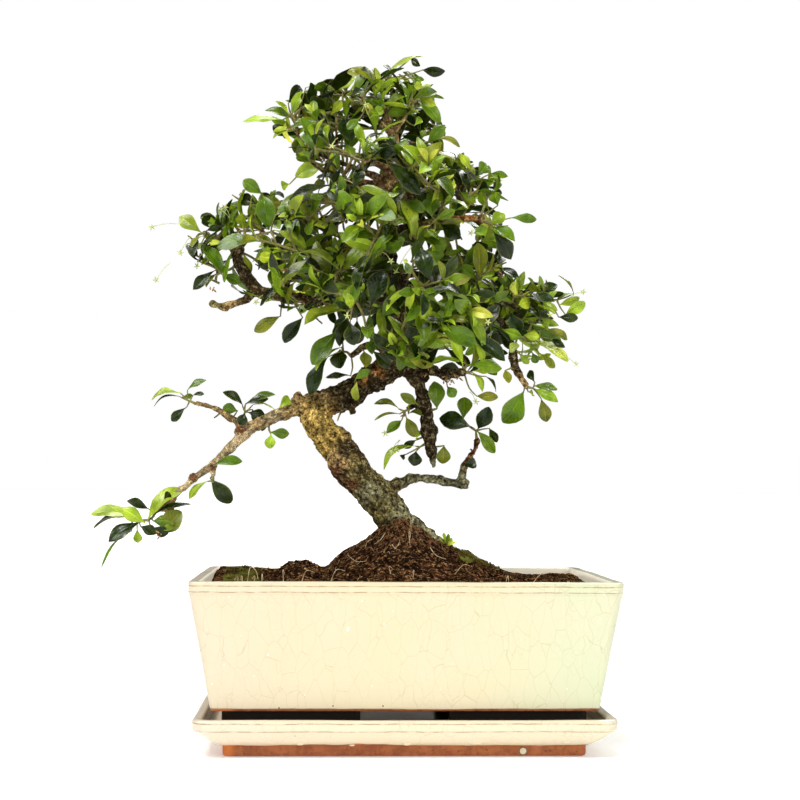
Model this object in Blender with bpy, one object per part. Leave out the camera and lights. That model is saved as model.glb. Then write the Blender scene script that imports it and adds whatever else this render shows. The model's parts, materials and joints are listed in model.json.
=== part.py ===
# Fukien tea bonsai in a rectangular glazed pot that stands on its own saucer.
# Metres, +Z up, X to the right, Y away from the viewer.
# The origin is the centre of the saucer's flat underside.

import math
import random

import bmesh
import bpy
from mathutils import Matrix, Vector
from mathutils.bvhtree import BVHTree

MM = 0.001
GAP = 0.0003                    # left between pieces that touch

# View in which wood and leaves are placed, by photo column, row and depth
VIEW_POSITION = Vector((-0.0465, -1.0891, 0.1630))
VIEW_TURN = math.radians(2.39)
VIEW_LIFT = math.radians(2.90)
VIEW_ROLL = math.radians(0.31)
VIEW_FOCAL = 1673.3             # photo pixels
VIEW_MIDDLE = 400.0             # photo pixels

# Saucer
SAUCER_WIDTH = 0.254
SAUCER_DEPTH = 0.187
SAUCER_HEIGHT = 0.0238
SAUCER_FLOOR = 0.0130
SAUCER_BASE_HEIGHT = 0.0065
SAUCER_BAND_BOTTOM = 0.0170
SAUCER_FLARE = 0.0175           # how far the rim stands out past the base
SAUCER_RIM = 0.0045
SAUCER_CORNER = 0.010

# Pot
POT_WIDTH = 0.260
POT_DEPTH = 0.191
POT_BOTTOM = 0.0277
POT_RIM_TOP = 0.1045
POT_LIP_BOTTOM = 0.0975
POT_TAPER = 0.0135              # how far each side draws in down to the bottom
POT_WALL = 0.0072
POT_FLOOR = 0.0083
POT_CORNER = 0.008
FOOT_INSET = 0.006
FOOT_WALL = 0.011
FOOT_BITE = 0.002               # how far a foot runs up into the pot's floor
FRONT_ARCH = 0.054              # open width between the feet, front and back
SIDE_ARCH = 0.046
DRAIN_RADIUS = 0.011
DRAIN_OFFSET = 0.055

# Mesh squares over the drainage holes
MESH_SIDE = 0.034
MESH_THICKNESS = 0.0012
MESH_CELLS = 3
MESH_BAR = 0.0022

# Soil
SOIL_LEVEL = 0.1000
SOIL_CELL = 0.0125
MOUND_CENTRE = (0.004, 0.0)
MOUND_HEIGHT = 0.038
MOUND_SPREAD = 0.050
BUMP_CENTRE = (-0.066, 0.004)
BUMP_HEIGHT = 0.010
BUMP_SPREAD = 0.017
SOCKET_GAPS = 1.5               # gaps between a root and its socket, square to a corner

# Moss cushions: name, centre and half sizes
MOSS_THICKNESS = 0.0028
MOSS_LIFT = 0.0009              # clears the soil's facets
MOSS_RINGS = 4
MOSS_SPOKES = 14
MOSS_PATCHES = (
    ("moss_left", (-0.103, 0.002), (0.013, 0.062)),
    ("moss_right", (0.047, -0.004), (0.019, 0.030)),
)

# Leaves
STEM_RADIUS = 0.0009
STEM_SIDES = 5
STEM_LIFT = 0.0025              # first stretch of a stem, square to the bark
STEM_START = 1.5                # gaps between the bark and a stem's foot
LEAF_LONGEST = 0.025
LEAF_WIDTH = 0.44               # widest part over the length
LEAF_HALF_THICKNESS = 0.00035
LEAF_CLEARANCE = 0.0006
SPARE_LENGTHS = (0.015, 0.021)
TIP_SWAY = (-9, 5, 11, -4, -12, 8, 2)      # mm of depth between one leaf and the next
GOLDEN_ANGLE = math.radians(137.5)
SHOOT_ATTEMPTS = 12             # leaf arrangements tried before a shoot is kept as it is
SHORTEST_EDGE = 0.0000015

# Trunk: photo column and row, depth in mm, radius in mm
TRUNK = (
    (403, 566, 0, 15.5), (400, 545, 0, 15.5), (391, 521, 0, 13.0), (378, 500, 0, 12.0),
    (356, 474, -1, 11.8), (336, 448, -2, 11.2), (320, 426, -2, 10.6), (314, 407, -1, 9.6),
    (329, 402, 1, 9.0), (346, 395, 2, 9.0), (364, 383, 2, 9.0), (383, 372, 1, 8.7),
    (400, 362, 0, 8.0), (405, 342, 0, 7.4), (399, 312, 0, 6.8), (392, 280, 2, 6.4),
    (387, 250, 3, 6.0), (389, 215, 2, 5.3), (389, 178, 0, 4.8), (394, 142, -2, 3.6),
    (386, 116, -4, 2.4), (387, 92, -6, 1.6),
)

# Roots that run from the trunk's foot into the mound
ROOTS = (
    ((398, 524, 0, 9.0), (415, 530, -3, 6.0), (430, 545, -6, 4.4), (438, 562, -8, 3.6)),
    ((392, 530, 0, 9.0), (379, 541, -8, 5.4), (368, 556, -13, 4.0)),
    ((398, 532, 0, 9.0), (400, 545, -14, 6.0), (398, 562, -25, 4.2)),
    ((398, 530, 0, 9.0), (392, 544, 14, 6.0), (386, 562, 26, 4.2)),
    ((400, 532, 0, 9.0), (414, 546, 10, 5.0), (424, 562, 18, 4.0)),
)

# Limbs and twigs, in the same form as the trunk
LIMBS = (
    # low left branch, its two twigs and a pendant one
    ((318, 408, -1, 8.0), (299, 406, -3, 5.8), (286, 413, -6, 4.6), (268, 419, -9, 4.0),
     (245, 431, -12, 3.6)),
    ((252, 427, -11, 3.2), (234, 420, -12, 2.3), (214, 408, -14, 1.9), (195, 403, -15, 1.5)),
    ((252, 427, -11, 3.4), (232, 446, -13, 3.0), (213, 464, -15, 2.6), (190, 482, -18, 2.4),
     (168, 502, -20, 2.0), (160, 511, -21, 1.6)),
    ((173, 498, -20, 2.0), (168, 516, -19, 1.9), (162, 533, -18, 1.7)),
    ((220, 458, -14, 2.2), (214, 468, -15, 1.5), (213, 477, -16, 1.3)),
    # low right branch with its cut end and a twig up
    ((372, 488, 0, 6.0), (396, 485, 1, 3.8), (416, 478, 2, 3.0), (440, 481, 4, 2.8),
     (469, 485, 5, 2.6)),
    ((461, 484, 5, 2.2), (464, 468, 4, 1.7), (476, 449, 3, 1.5), (476, 437, 2, 1.3)),
    # hanging limb under the crown
    ((404, 362, 0, 6.0), (416, 378, -8, 4.0), (422, 395, -10, 3.0), (426, 411, -11, 2.6),
     (429, 427, -12, 2.4), (430, 443, -12, 2.0), (434, 463, -12, 1.5)),
    ((424, 402, -10, 1.9), (414, 406, -13, 1.4), (408, 409, -14, 1.3)),
    # left middle limb: a cut stub, and a dark limb that climbs
    ((397, 302, 0, 5.2), (350, 302, -8, 4.4), (310, 299, -13, 4.0), (281, 296, -16, 3.6),
     (257, 290, -18, 3.2), (245, 300, -19, 3.2), (223, 306, -20, 2.8), (210, 305, -20, 2.3)),
    ((262, 293, -18, 3.2), (250, 282, -17, 2.9), (238, 263, -14, 2.6), (236, 247, -12, 2.2),
     (245, 236, -10, 1.6)),
    ((286, 297, -16, 2.8), (288, 276, -28, 2.2), (297, 258, -44, 1.5)),
    # upper left limb
    ((389, 184, 0, 4.0), (362, 183, -5, 3.0), (340, 180, -8, 2.5), (326, 170, -10, 2.0),
     (336, 148, -10, 1.7), (336, 123, -9, 1.3)),
    ((332, 175, -9, 2.2), (312, 162, -4, 1.9), (300, 140, -3, 1.6), (296, 122, -3, 1.3)),
    # right middle limb, cut bare at its end
    ((388, 232, 2, 4.4), (418, 225, -4, 3.6), (449, 219, -8, 3.2), (482, 219, -10, 2.6)),
    # upper right limbs
    ((389, 203, 1, 4.0), (430, 190, 3, 2.8), (456, 187, 3, 2.0), (471, 186, 3, 1.4)),
    ((394, 150, -2, 3.2), (410, 144, -4, 2.2), (423, 143, -5, 1.4)),
    ((392, 134, -3, 2.6), (405, 118, -2, 1.9), (409, 110, -2, 1.4)),
    # long right limb and its forks
    ((400, 318, 0, 5.4), (430, 318, -5, 4.2), (462, 311, -9, 3.6), (490, 304, -10, 3.0),
     (513, 304, -8, 2.4), (535, 301, -5, 1.9), (551, 301, -3, 1.4)),
    ((484, 306, -10, 2.6), (500, 320, -8, 2.2), (512, 342, -6, 2.0), (515, 366, -5, 1.8),
     (526, 385, -4, 1.3)),
    ((400, 290, 1, 4.4), (430, 279, 0, 3.0), (455, 279, -1, 2.2), (476, 281, -2, 1.4)),
    # knobby limb at the lower right of the crown
    ((404, 360, 0, 6.0), (428, 369, 0, 3.6), (446, 374, -2, 3.2), (460, 372, -4, 2.2)),
    # small limb in front of the second bend
    ((394, 366, -2, 4.6), (382, 349, -10, 3.0), (366, 346, -14, 2.6), (350, 357, -17, 1.7)),
    # limbs towards the viewer
    ((396, 302, 0, 4.0), (376, 302, -26, 2.8), (359, 300, -54, 1.4)),
    ((404, 344, 0, 4.0), (408, 340, -26, 2.6), (403, 342, -50, 1.4)),
    ((393, 282, 1, 4.0), (410, 285, -32, 2.8), (419, 288, -60, 1.4)),
    ((388, 246, 3, 4.0), (383, 240, -30, 2.8), (379, 238, -62, 1.4)),
    ((389, 190, 1, 3.6), (400, 174, -24, 2.4), (409, 168, -44, 1.4)),
    ((391, 168, 0, 3.4), (370, 160, -22, 2.2), (354, 157, -40, 1.4)),
    ((388, 220, 2, 3.8), (356, 209, -26, 2.4), (330, 202, -48, 1.4)),
    ((450, 314, -7, 2.8), (453, 311, -32, 2.2), (455, 310, -54, 1.4)),
    ((394, 138, -3, 2.6), (376, 118, -16, 1.9), (365, 104, -27, 1.4)),
    # limbs at the back of the crown
    ((388, 224, 2, 4.4), (387, 207, 38, 3.0), (385, 200, 74, 1.5)),
    ((391, 270, 2, 4.8), (398, 278, 42, 3.4), (400, 288, 84, 1.6)),
    ((401, 330, 0, 4.6), (412, 343, 34, 2.8), (419, 351, 62, 1.5)),
    ((428, 191, 3, 2.4), (443, 183, 32, 2.0), (454, 181, 56, 1.4)),
    ((398, 278, 42, 2.8), (434, 270, 58, 2.2), (467, 262, 70, 1.4)),
    ((476, 308, -9, 2.6), (490, 316, 26, 2.2), (499, 320, 54, 1.4)),
    ((388, 243, 3, 4.4), (352, 240, 30, 3.0), (322, 228, 48, 2.2), (304, 221, 60, 1.4)),
    ((348, 239, 32, 2.4), (337, 264, 54, 2.0), (331, 280, 70, 1.4)),
    ((389, 182, 0, 3.6), (350, 166, 24, 2.2), (314, 153, 44, 1.4)),
    ((394, 142, -2, 2.8), (398, 126, 18, 2.0), (400, 118, 34, 1.4)),
)

# Leafy shoots: name, stem by column, row and depth in mm, leaf tips by column and row,
# and how many more leaves stand around the stem
SHOOTS = (
    ("shoot_low_left_tip", ((150, 519, -22), (132, 521, -24)),
     ((91, 514), (93, 526), (108, 541), (101, 568), (176, 483), (188, 505), (138, 543)), 0),
    ("shoot_low_left_pendant", ((213, 483, -17),), ((229, 503), (192, 499), (240, 472)), 0),
    ("shoot_low_left_upper", ((187, 400, -15),),
     ((152, 397), (153, 404), (205, 379), (172, 422)), 1),
    ("shoot_low_left_inner", ((245, 412, -13),), ((223, 392), (223, 407), (275, 394), (275, 408)), 1),
    ("shoot_low_left_under", ((269, 428, -10),), ((283, 437), (268, 447)), 1),
    ("shoot_under_crown", ((339, 352, -20),), ((313, 367), (309, 394), (339, 370), (355, 402)), 1),
    ("shoot_mid_left_far", ((218, 240, -14), (206, 233, -15)), ((178, 218), (152, 227), (180, 252)), 3),
    ("shoot_mid_left_high", ((252, 222, -8), (258, 207, -7)), ((243, 180), (240, 193), (263, 190)), 3),
    ("shoot_mid_left_front", ((271, 232, -18),), ((263, 204), (307, 195), (305, 246)), 3),
    ("shoot_mid_left_low", ((222, 272, -12),), ((216, 250), (194, 280), (205, 262)), 3),
    ("shoot_mid_left_under", ((295, 305, -20),), ((261, 292), (255, 331), (287, 342), (326, 307)), 2),
    ("shoot_mid_left_inner", ((335, 274, -26),), ((302, 250), (345, 255)), 5),
    ("shoot_top_left_far", ((290, 112, -3),),
     ((244, 121), (264, 108), (301, 92), (281, 94), (273, 133), (316, 105), (293, 143)), 0),
    ("shoot_top_left", ((336, 112, -9),), ((318, 96), (352, 108)), 4),
    ("shoot_top_back", ((350, 96, 14),), ((335, 78), (352, 78)), 3),
    ("shoot_top_peak", ((388, 78, -7),), ((348, 72), (421, 52), (417, 62), (445, 72), (379, 66)), 2),
    ("shoot_top_right", ((413, 103, -2),), ((407, 86), (437, 92), (441, 119), (432, 104)), 2),
    ("shoot_upper_right", ((431, 142, -6),), ((446, 126), (460, 146), (480, 161)), 3),
    ("shoot_centre_left", ((411, 233, -26),), ((405, 206), (391, 245)), 4),
    ("shoot_centre_right", ((436, 219, -18),), ((434, 197), (455, 208)), 3),
    ("shoot_right_high", ((476, 182, 3),), ((460, 156), (490, 168), (508, 178), (503, 196)), 2),
    ("shoot_right_upper", ((490, 224, -14),), ((506, 212), (537, 219), (513, 258), (477, 239)), 1),
    ("shoot_right_middle", ((482, 279, -3),), ((477, 248), (503, 272)), 4),
    ("shoot_right_lower", ((514, 297, -14),), ((519, 272), (535, 285)), 4),
    ("shoot_right_far", ((557, 300, -3),), ((546, 279), (586, 303), (558, 277), (580, 288)), 3),
    ("shoot_right_under", ((528, 336, -8),), ((567, 337), (563, 350), (555, 367), (545, 322)), 1),
    ("shoot_right_knob", ((466, 364, -6),), ((449, 349), (486, 356)), 4),
    ("shoot_low_right_far", ((533, 388, -4),),
     ((507, 426), (556, 388), (556, 405), (547, 422), (528, 368)), 0),
    ("shoot_low_right_twig", ((476, 431, 2),), ((442, 416), (487, 406), (495, 430), (495, 454)), 1),
    ("shoot_hanging_left", ((404, 411, -15),), ((380, 403), (380, 418), (390, 430)), 2),
    ("shoot_hanging_right", ((436, 409, -13),), ((438, 388), (460, 420), (463, 402)), 2),
    ("shoot_hanging_low", ((420, 447, -14),), ((384, 463), (412, 462), (444, 455)), 1),
    ("shoot_front_top", ((362, 99, -33),), ((345, 88), (380, 98)), 4),
    ("shoot_front_upper_left", ((350, 155, -46),), ((330, 140), (372, 148)), 4),
    ("shoot_front_upper_right", ((412, 165, -50),), ((386, 148), (404, 188), (436, 168)), 4),
    ("shoot_front_left", ((325, 200, -54),), ((303, 212), (345, 190)), 4),
    ("shoot_front_middle", ((377, 235, -68),), ((358, 225), (392, 222)), 4),
    ("shoot_front_right", ((421, 287, -67),), ((404, 300), (440, 275)), 4),
    ("shoot_front_low_left", ((355, 300, -60),), ((338, 288), (362, 323)), 4),
    ("shoot_front_low_right", ((456, 309, -61),), ((440, 322), (474, 318)), 4),
    ("shoot_front_low", ((400, 344, -57),), ((382, 335), (418, 333)), 4),
    ("shoot_front_far_left", ((298, 252, -50),), ((282, 240), (316, 262)), 4),
    ("shoot_back_upper_left", ((309, 150, 49),), (), 6),
    ("shoot_back_top", ((401, 114, 40),), (), 6),
    ("shoot_back_upper_right", ((457, 180, 62),), (), 6),
    ("shoot_back_middle", ((385, 198, 81),), (), 6),
    ("shoot_back_left", ((300, 220, 66),), (), 6),
    ("shoot_back_low_left", ((330, 284, 77),), (), 6),
    ("shoot_back_low", ((400, 290, 91),), (), 6),
    ("shoot_back_right", ((471, 261, 77),), (), 6),
    ("shoot_back_low_right", ((501, 321, 61),), (), 6),
    ("shoot_back_under", ((420, 352, 69),), (), 6),
)


def clear_scene():
    for item in list(bpy.data.objects):
        bpy.data.objects.remove(item, do_unlink=True)


def make_material(name, colour, roughness, metallic=0.0):
    material = bpy.data.materials.new(name)
    material.use_nodes = True
    shader = material.node_tree.nodes["Principled BSDF"]
    shader.inputs["Base Color"].default_value = (*colour, 1.0)
    shader.inputs["Roughness"].default_value = roughness
    shader.inputs["Metallic"].default_value = metallic
    return material


def mesh_from(points, faces):
    mesh = bpy.data.meshes.new("shape")
    mesh.from_pydata([tuple(point) for point in points], [], faces)
    mesh.validate()
    mesh.update()
    return mesh


def add_object(name, mesh, material, smooth_angle=None):
    mesh.materials.clear()
    mesh.materials.append(material)
    if smooth_angle is not None:
        mesh.shade_smooth()
        mesh.set_sharp_from_angle(angle=math.radians(smooth_angle))
    item = bpy.data.objects.new(name, mesh)
    bpy.context.scene.collection.objects.link(item)
    return item


def combined(mesh, others, operation):
    """Boolean of a closed mesh with a list of closed meshes."""
    group = bpy.data.collections.new("others")
    bpy.context.scene.collection.children.link(group)
    for other in others:
        group.objects.link(bpy.data.objects.new("other", other))
    base = bpy.data.objects.new("base", mesh)
    bpy.context.scene.collection.objects.link(base)
    modifier = base.modifiers.new("Combine", "BOOLEAN")
    modifier.operation = operation
    modifier.solver = "EXACT"
    modifier.operand_type = "COLLECTION"
    modifier.collection = group
    depsgraph = bpy.context.evaluated_depsgraph_get()
    result = bpy.data.meshes.new_from_object(base.evaluated_get(depsgraph))
    for item in [base, *group.objects]:
        bpy.data.objects.remove(item, do_unlink=True)
    bpy.data.collections.remove(group)
    return result


def skin(rings):
    """Closed body through rings of equal count, first ring lowest or outermost."""
    count = len(rings[0])
    points = [point for ring in rings for point in ring]
    faces = [tuple(reversed(range(count)))]
    for level in range(len(rings) - 1):
        low = level * count
        for step in range(count):
            after = (step + 1) % count
            faces.append((low + step, low + after, low + count + after, low + count + step))
    last = (len(rings) - 1) * count
    faces.append(tuple(range(last, last + count)))
    return mesh_from(points, faces)


def rounded_ring(width, depth, radius, height, corner_steps=4):
    """Corner points of a rounded rectangle, anticlockwise from above."""
    points = []
    for quarter, (side_x, side_y) in enumerate(((1, 1), (-1, 1), (-1, -1), (1, -1))):
        centre_x = side_x * (width / 2 - radius)
        centre_y = side_y * (depth / 2 - radius)
        for step in range(corner_steps + 1):
            angle = math.pi / 2 * (quarter + step / corner_steps)
            points.append(Vector((centre_x + radius * math.cos(angle),
                                  centre_y + radius * math.sin(angle), height)))
    return points


def rings_from_profile(width, depth, corner, profile):
    """Rings of a rectangular vessel: each step is an inset from the outside and a height."""
    return [rounded_ring(width - 2 * inset, depth - 2 * inset, max(corner - inset * 0.4, 0.002), height)
            for inset, height in profile]


def box_mesh(low, high):
    xs, ys, zs = zip(low, high)
    points = [(x, y, z) for z in zs for y in ys for x in xs]
    faces = [(0, 2, 3, 1), (4, 5, 7, 6), (0, 1, 5, 4), (2, 6, 7, 3), (0, 4, 6, 2), (1, 3, 7, 5)]
    return mesh_from(points, faces)


def post_mesh(centre, radius, low, high, sides=24):
    """Upright round post."""
    rings = [[Vector((centre[0] + radius * math.cos(math.tau * step / sides),
                      centre[1] + radius * math.sin(math.tau * step / sides), height))
              for step in range(sides)] for height in (low, high)]
    return skin(rings)


def make_saucer(material):
    cove_steps = 4
    profile = [(SAUCER_FLARE + 0.0012, 0.0), (SAUCER_FLARE, 0.0012), (SAUCER_FLARE, SAUCER_BASE_HEIGHT)]
    for step in range(1, cove_steps + 1):
        part = step / cove_steps
        profile.append((SAUCER_FLARE - (SAUCER_FLARE - 0.0010) * part,
                        SAUCER_BASE_HEIGHT + (SAUCER_BAND_BOTTOM - SAUCER_BASE_HEIGHT) * part ** 1.35))
    profile += [
        (0.0, SAUCER_BAND_BOTTOM + 0.0006), (0.0, SAUCER_HEIGHT - 0.0010), (0.0010, SAUCER_HEIGHT),
        (SAUCER_RIM, SAUCER_HEIGHT), (SAUCER_RIM + 0.0010, SAUCER_HEIGHT - 0.0010),
        (SAUCER_RIM + 0.0040, SAUCER_FLOOR + 0.0015), (SAUCER_RIM + 0.0058, SAUCER_FLOOR),
    ]
    mesh = skin(rings_from_profile(SAUCER_WIDTH, SAUCER_DEPTH, SAUCER_CORNER, profile))
    return add_object("saucer", mesh, material, 35)


def pot_inset(height):
    """How far the pot's outside stands in from its rim at a height."""
    return POT_TAPER * max(0.0, (POT_LIP_BOTTOM - height) / (POT_LIP_BOTTOM - POT_BOTTOM))


def cavity_inset(height):
    """How far the pot's inside stands in from its rim's outline at a height."""
    return pot_inset(height) + POT_WALL


def make_pot(material):
    floor = POT_BOTTOM + POT_FLOOR
    profile = [
        (POT_TAPER + 0.0020, POT_BOTTOM), (POT_TAPER, POT_BOTTOM + 0.0020),
        (0.0004, POT_LIP_BOTTOM), (0.0004, POT_LIP_BOTTOM + 0.0012), (0.0, POT_LIP_BOTTOM + 0.0018),
        (0.0, POT_RIM_TOP - 0.0016), (0.0014, POT_RIM_TOP), (POT_WALL - 0.0016, POT_RIM_TOP),
        (cavity_inset(POT_RIM_TOP), POT_RIM_TOP - 0.0018),
        (cavity_inset(POT_LIP_BOTTOM), POT_LIP_BOTTOM), (cavity_inset(floor), floor),
    ]
    body = skin(rings_from_profile(POT_WIDTH, POT_DEPTH, POT_CORNER, profile))
    joined = combined(body, [make_feet()], "UNION")
    drains = [post_mesh((side * DRAIN_OFFSET, 0.0), DRAIN_RADIUS, POT_BOTTOM - 0.005, floor + 0.005)
              for side in (-1, 1)]
    return add_object("pot", combined(joined, drains, "DIFFERENCE"), material, 35)


def make_feet():
    """Four corner feet as one mesh: a low wall around the bottom, cut open in the middles."""
    width = POT_WIDTH - 2 * (POT_TAPER + FOOT_INSET)
    depth = POT_DEPTH - 2 * (POT_TAPER + FOOT_INSET)
    low, high = SAUCER_FLOOR + GAP, POT_BOTTOM + FOOT_BITE
    outer = skin([rounded_ring(width, depth, POT_CORNER, height) for height in (low, high)])
    inner_width, inner_depth = width - 2 * FOOT_WALL, depth - 2 * FOOT_WALL
    inner = box_mesh((-inner_width / 2, -inner_depth / 2, low - 0.01),
                     (inner_width / 2, inner_depth / 2, high + 0.01))
    front = box_mesh((-FRONT_ARCH / 2, -depth, low - 0.01), (FRONT_ARCH / 2, depth, high + 0.01))
    side = box_mesh((-width, -SIDE_ARCH / 2, low - 0.01), (width, SIDE_ARCH / 2, high + 0.01))
    return combined(outer, [inner, front, side], "DIFFERENCE")


def make_drain_mesh(name, centre_x, material):
    """A square of plastic mesh, a grid of bars around square holes."""
    low = POT_BOTTOM + POT_FLOOR + GAP
    high = low + MESH_THICKNESS
    half = MESH_SIDE / 2
    plate = box_mesh((centre_x - half, -half, low), (centre_x + half, half, high))
    hole = (MESH_SIDE - MESH_BAR * (MESH_CELLS + 1)) / MESH_CELLS
    holes = []
    for column in range(MESH_CELLS):
        for row in range(MESH_CELLS):
            left = centre_x - half + MESH_BAR + column * (hole + MESH_BAR)
            front = -half + MESH_BAR + row * (hole + MESH_BAR)
            holes.append(box_mesh((left, front, low - 0.002), (left + hole, front + hole, high + 0.002)))
    return add_object(name, combined(plate, holes, "DIFFERENCE"), material)


def soil_height(x, y):
    """Height of the soil: level, with the root mound and one smaller bump."""
    reach = math.hypot(x - MOUND_CENTRE[0], (y - MOUND_CENTRE[1]) * 0.9) / MOUND_SPREAD
    bump = math.hypot(x - BUMP_CENTRE[0], (y - BUMP_CENTRE[1]) * 0.6) / BUMP_SPREAD
    return SOIL_LEVEL + MOUND_HEIGHT * math.exp(-reach ** 1.8) + BUMP_HEIGHT * math.exp(-bump ** 2)


def grid_lines(span):
    """Grid positions that cover a span evenly around zero."""
    steps = math.ceil(span / 2 / SOIL_CELL)
    return [SOIL_CELL * step for step in range(-steps, steps + 1)]


def ground_mesh(low):
    """Block under the soil's surface, down to a level, over a grid wider than the pot."""
    xs, ys = grid_lines(POT_WIDTH), grid_lines(POT_DEPTH)
    shape = bmesh.new()
    top = [[shape.verts.new((x, y, soil_height(x, y))) for y in ys] for x in xs]
    for i in range(len(xs) - 1):
        for j in range(len(ys) - 1):
            shape.faces.new((top[i][j], top[i + 1][j], top[i + 1][j + 1]))
            shape.faces.new((top[i][j], top[i + 1][j + 1], top[i][j + 1]))
    rim = [edge for edge in shape.edges if edge.is_boundary]
    sides = bmesh.ops.extrude_edge_only(shape, edges=rim)["geom"]
    lowered = [item for item in sides if isinstance(item, bmesh.types.BMVert)]
    for vertex in lowered:
        vertex.co.z = low
    bmesh.ops.holes_fill(shape, edges=[edge for edge in shape.edges if edge.is_boundary], sides=0)
    bmesh.ops.recalc_face_normals(shape, faces=shape.faces)
    mesh = bpy.data.meshes.new("ground")
    shape.to_mesh(mesh)
    shape.free()
    return mesh


def make_soil(material):
    """The pot's filling, cut to the mound's surface, with sockets for the roots and mesh squares."""
    floor = POT_BOTTOM + POT_FLOOR
    rings = [rounded_ring(POT_WIDTH - 2 * (cavity_inset(height) + GAP),
                          POT_DEPTH - 2 * (cavity_inset(height) + GAP), POT_CORNER * 0.6, level)
             for height, level in ((floor, floor + GAP), (POT_LIP_BOTTOM, POT_LIP_BOTTOM),
                                   (POT_LIP_BOTTOM, POT_LIP_BOTTOM + 0.08))]
    filling = combined(skin(rings), [ground_mesh(floor - 0.01)], "INTERSECT")
    half = MESH_SIDE / 2 + GAP
    seats = [box_mesh((side * DRAIN_OFFSET - half, -half, floor - 0.01),
                      (side * DRAIN_OFFSET + half, half, floor + MESH_THICKNESS + 2 * GAP))
             for side in (-1, 1)]
    sockets = [combined(root_foot(GAP * SOCKET_GAPS), seats, "UNION")]
    return add_object("soil", combined(filling, sockets, "DIFFERENCE"), material, 40)


def make_moss(name, centre, size, ground, material):
    """A cushion of moss that follows the soil just above it."""
    def raised(ring, spoke, above):
        angle = math.tau * spoke / MOSS_SPOKES
        reach = ring / MOSS_RINGS * (1.0 + 0.13 * math.sin(3 * angle + 1.0) + 0.08 * math.sin(5 * angle))
        x = centre[0] + size[0] * reach * math.cos(angle)
        y = centre[1] + size[1] * reach * math.sin(angle)
        hit = ground.ray_cast(Vector((x, y, 1.0)), Vector((0, 0, -1)))[0]
        return Vector((x, y, hit.z + above))

    def thickness(ring):
        return MOSS_THICKNESS * (0.3 + 0.7 * (1.0 - (ring / MOSS_RINGS) ** 2))

    levels = [(ring, MOSS_LIFT) for ring in range(1, MOSS_RINGS + 1)]
    levels += [(ring, MOSS_LIFT + thickness(ring)) for ring in range(MOSS_RINGS, 0, -1)]
    rings = [[raised(ring, spoke, above) for spoke in range(MOSS_SPOKES)] for ring, above in levels]
    points = [point for ring in rings for point in ring]
    points += [raised(0, 0, MOSS_LIFT), raised(0, 0, MOSS_LIFT + thickness(0))]
    faces = []
    for spoke in range(MOSS_SPOKES):
        after = (spoke + 1) % MOSS_SPOKES
        faces.append((after, spoke, len(points) - 2))
        last = (len(rings) - 1) * MOSS_SPOKES
        faces.append((last + spoke, last + after, len(points) - 1))
        for level in range(len(rings) - 1):
            low, high = level * MOSS_SPOKES, (level + 1) * MOSS_SPOKES
            faces.append((low + spoke, low + after, high + after))
            faces.append((low + spoke, high + after, high + spoke))
    return add_object(name, mesh_from(points, faces), material, 60)


def spot(column, row, depth):
    """Point seen at a photo column and row, at a depth in mm behind the pot's middle."""
    aim = (Matrix.Rotation(-VIEW_TURN, 3, "Z") @ Matrix.Rotation(VIEW_LIFT, 3, "X")
           @ Matrix.Rotation(-VIEW_ROLL, 3, "Y"))
    ray = aim @ Vector(((column - VIEW_MIDDLE) / VIEW_FOCAL, 1.0, (VIEW_MIDDLE - row) / VIEW_FOCAL))
    return VIEW_POSITION + ray * ((depth * MM - VIEW_POSITION.y) / ray.y)


def smooth_route(route, steps):
    """Points and radii on a smooth curve through a route."""
    result = []
    for index in range(len(route) - 1):
        before = route[max(index - 1, 0)]
        start, end = route[index], route[index + 1]
        after = route[min(index + 2, len(route) - 1)]
        for step in range(steps):
            t = step / steps
            point = 0.5 * (2 * start[0] + (end[0] - before[0]) * t
                           + (2 * before[0] - 5 * start[0] + 4 * end[0] - after[0]) * t * t
                           + (3 * start[0] - 3 * end[0] + after[0] - before[0]) * t ** 3)
            result.append((point, start[1] + (end[1] - start[1]) * t))
    result.append(route[-1])
    return result


def tube(route, sides, extra=0.0):
    """Closed round body along points with their own radii."""
    points = [point for point, _ in route]
    rings = []
    across = None
    for index, (point, radius) in enumerate(route):
        along = (points[min(index + 1, len(points) - 1)] - points[max(index - 1, 0)]).normalized()
        if across is None:
            across = along.orthogonal().normalized()
        across = (across - along * across.dot(along)).normalized()
        other = along.cross(across)
        centre = point
        if index == 0:
            centre = point - along * extra
        elif index == len(route) - 1:
            centre = point + along * extra
        rings.append([centre + (radius + extra) * (across * math.cos(math.tau * side / sides)
                                                   + other * math.sin(math.tau * side / sides))
                      for side in range(sides)])
    return skin(rings)


def wood_route(points, steps):
    return smooth_route([(spot(column, row, depth), radius * MM) for column, row, depth, radius in points],
                        steps)


def root_foot(extra):
    """The trunk's foot with its roots, grown by extra to cut their socket."""
    foot = tube(wood_route(TRUNK[:4], 1), 12, extra)
    roots = [tube(wood_route(root, 1), 8, extra) for root in ROOTS]
    return combined(foot, roots, "UNION")


def make_trunk(material):
    """Trunk, roots and all branches, grown as one piece."""
    stem = tube(wood_route(TRUNK[:4], 1) + wood_route(TRUNK[3:], 1)[1:], 12)
    pieces = [tube(wood_route(root, 1), 8) for root in ROOTS]
    for limb in LIMBS:
        thickest = max(radius for _, _, _, radius in limb)
        pieces.append(tube(wood_route(limb, 1), 8 if thickest > 4.9 else 6))
    return add_object("trunk", combined(stem, pieces, "UNION"), material, 60)


def solid_tree(mesh):
    """Search tree over a mesh's faces."""
    return BVHTree.FromPolygons([vertex.co for vertex in mesh.vertices],
                                [tuple(face.vertices) for face in mesh.polygons])


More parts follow.
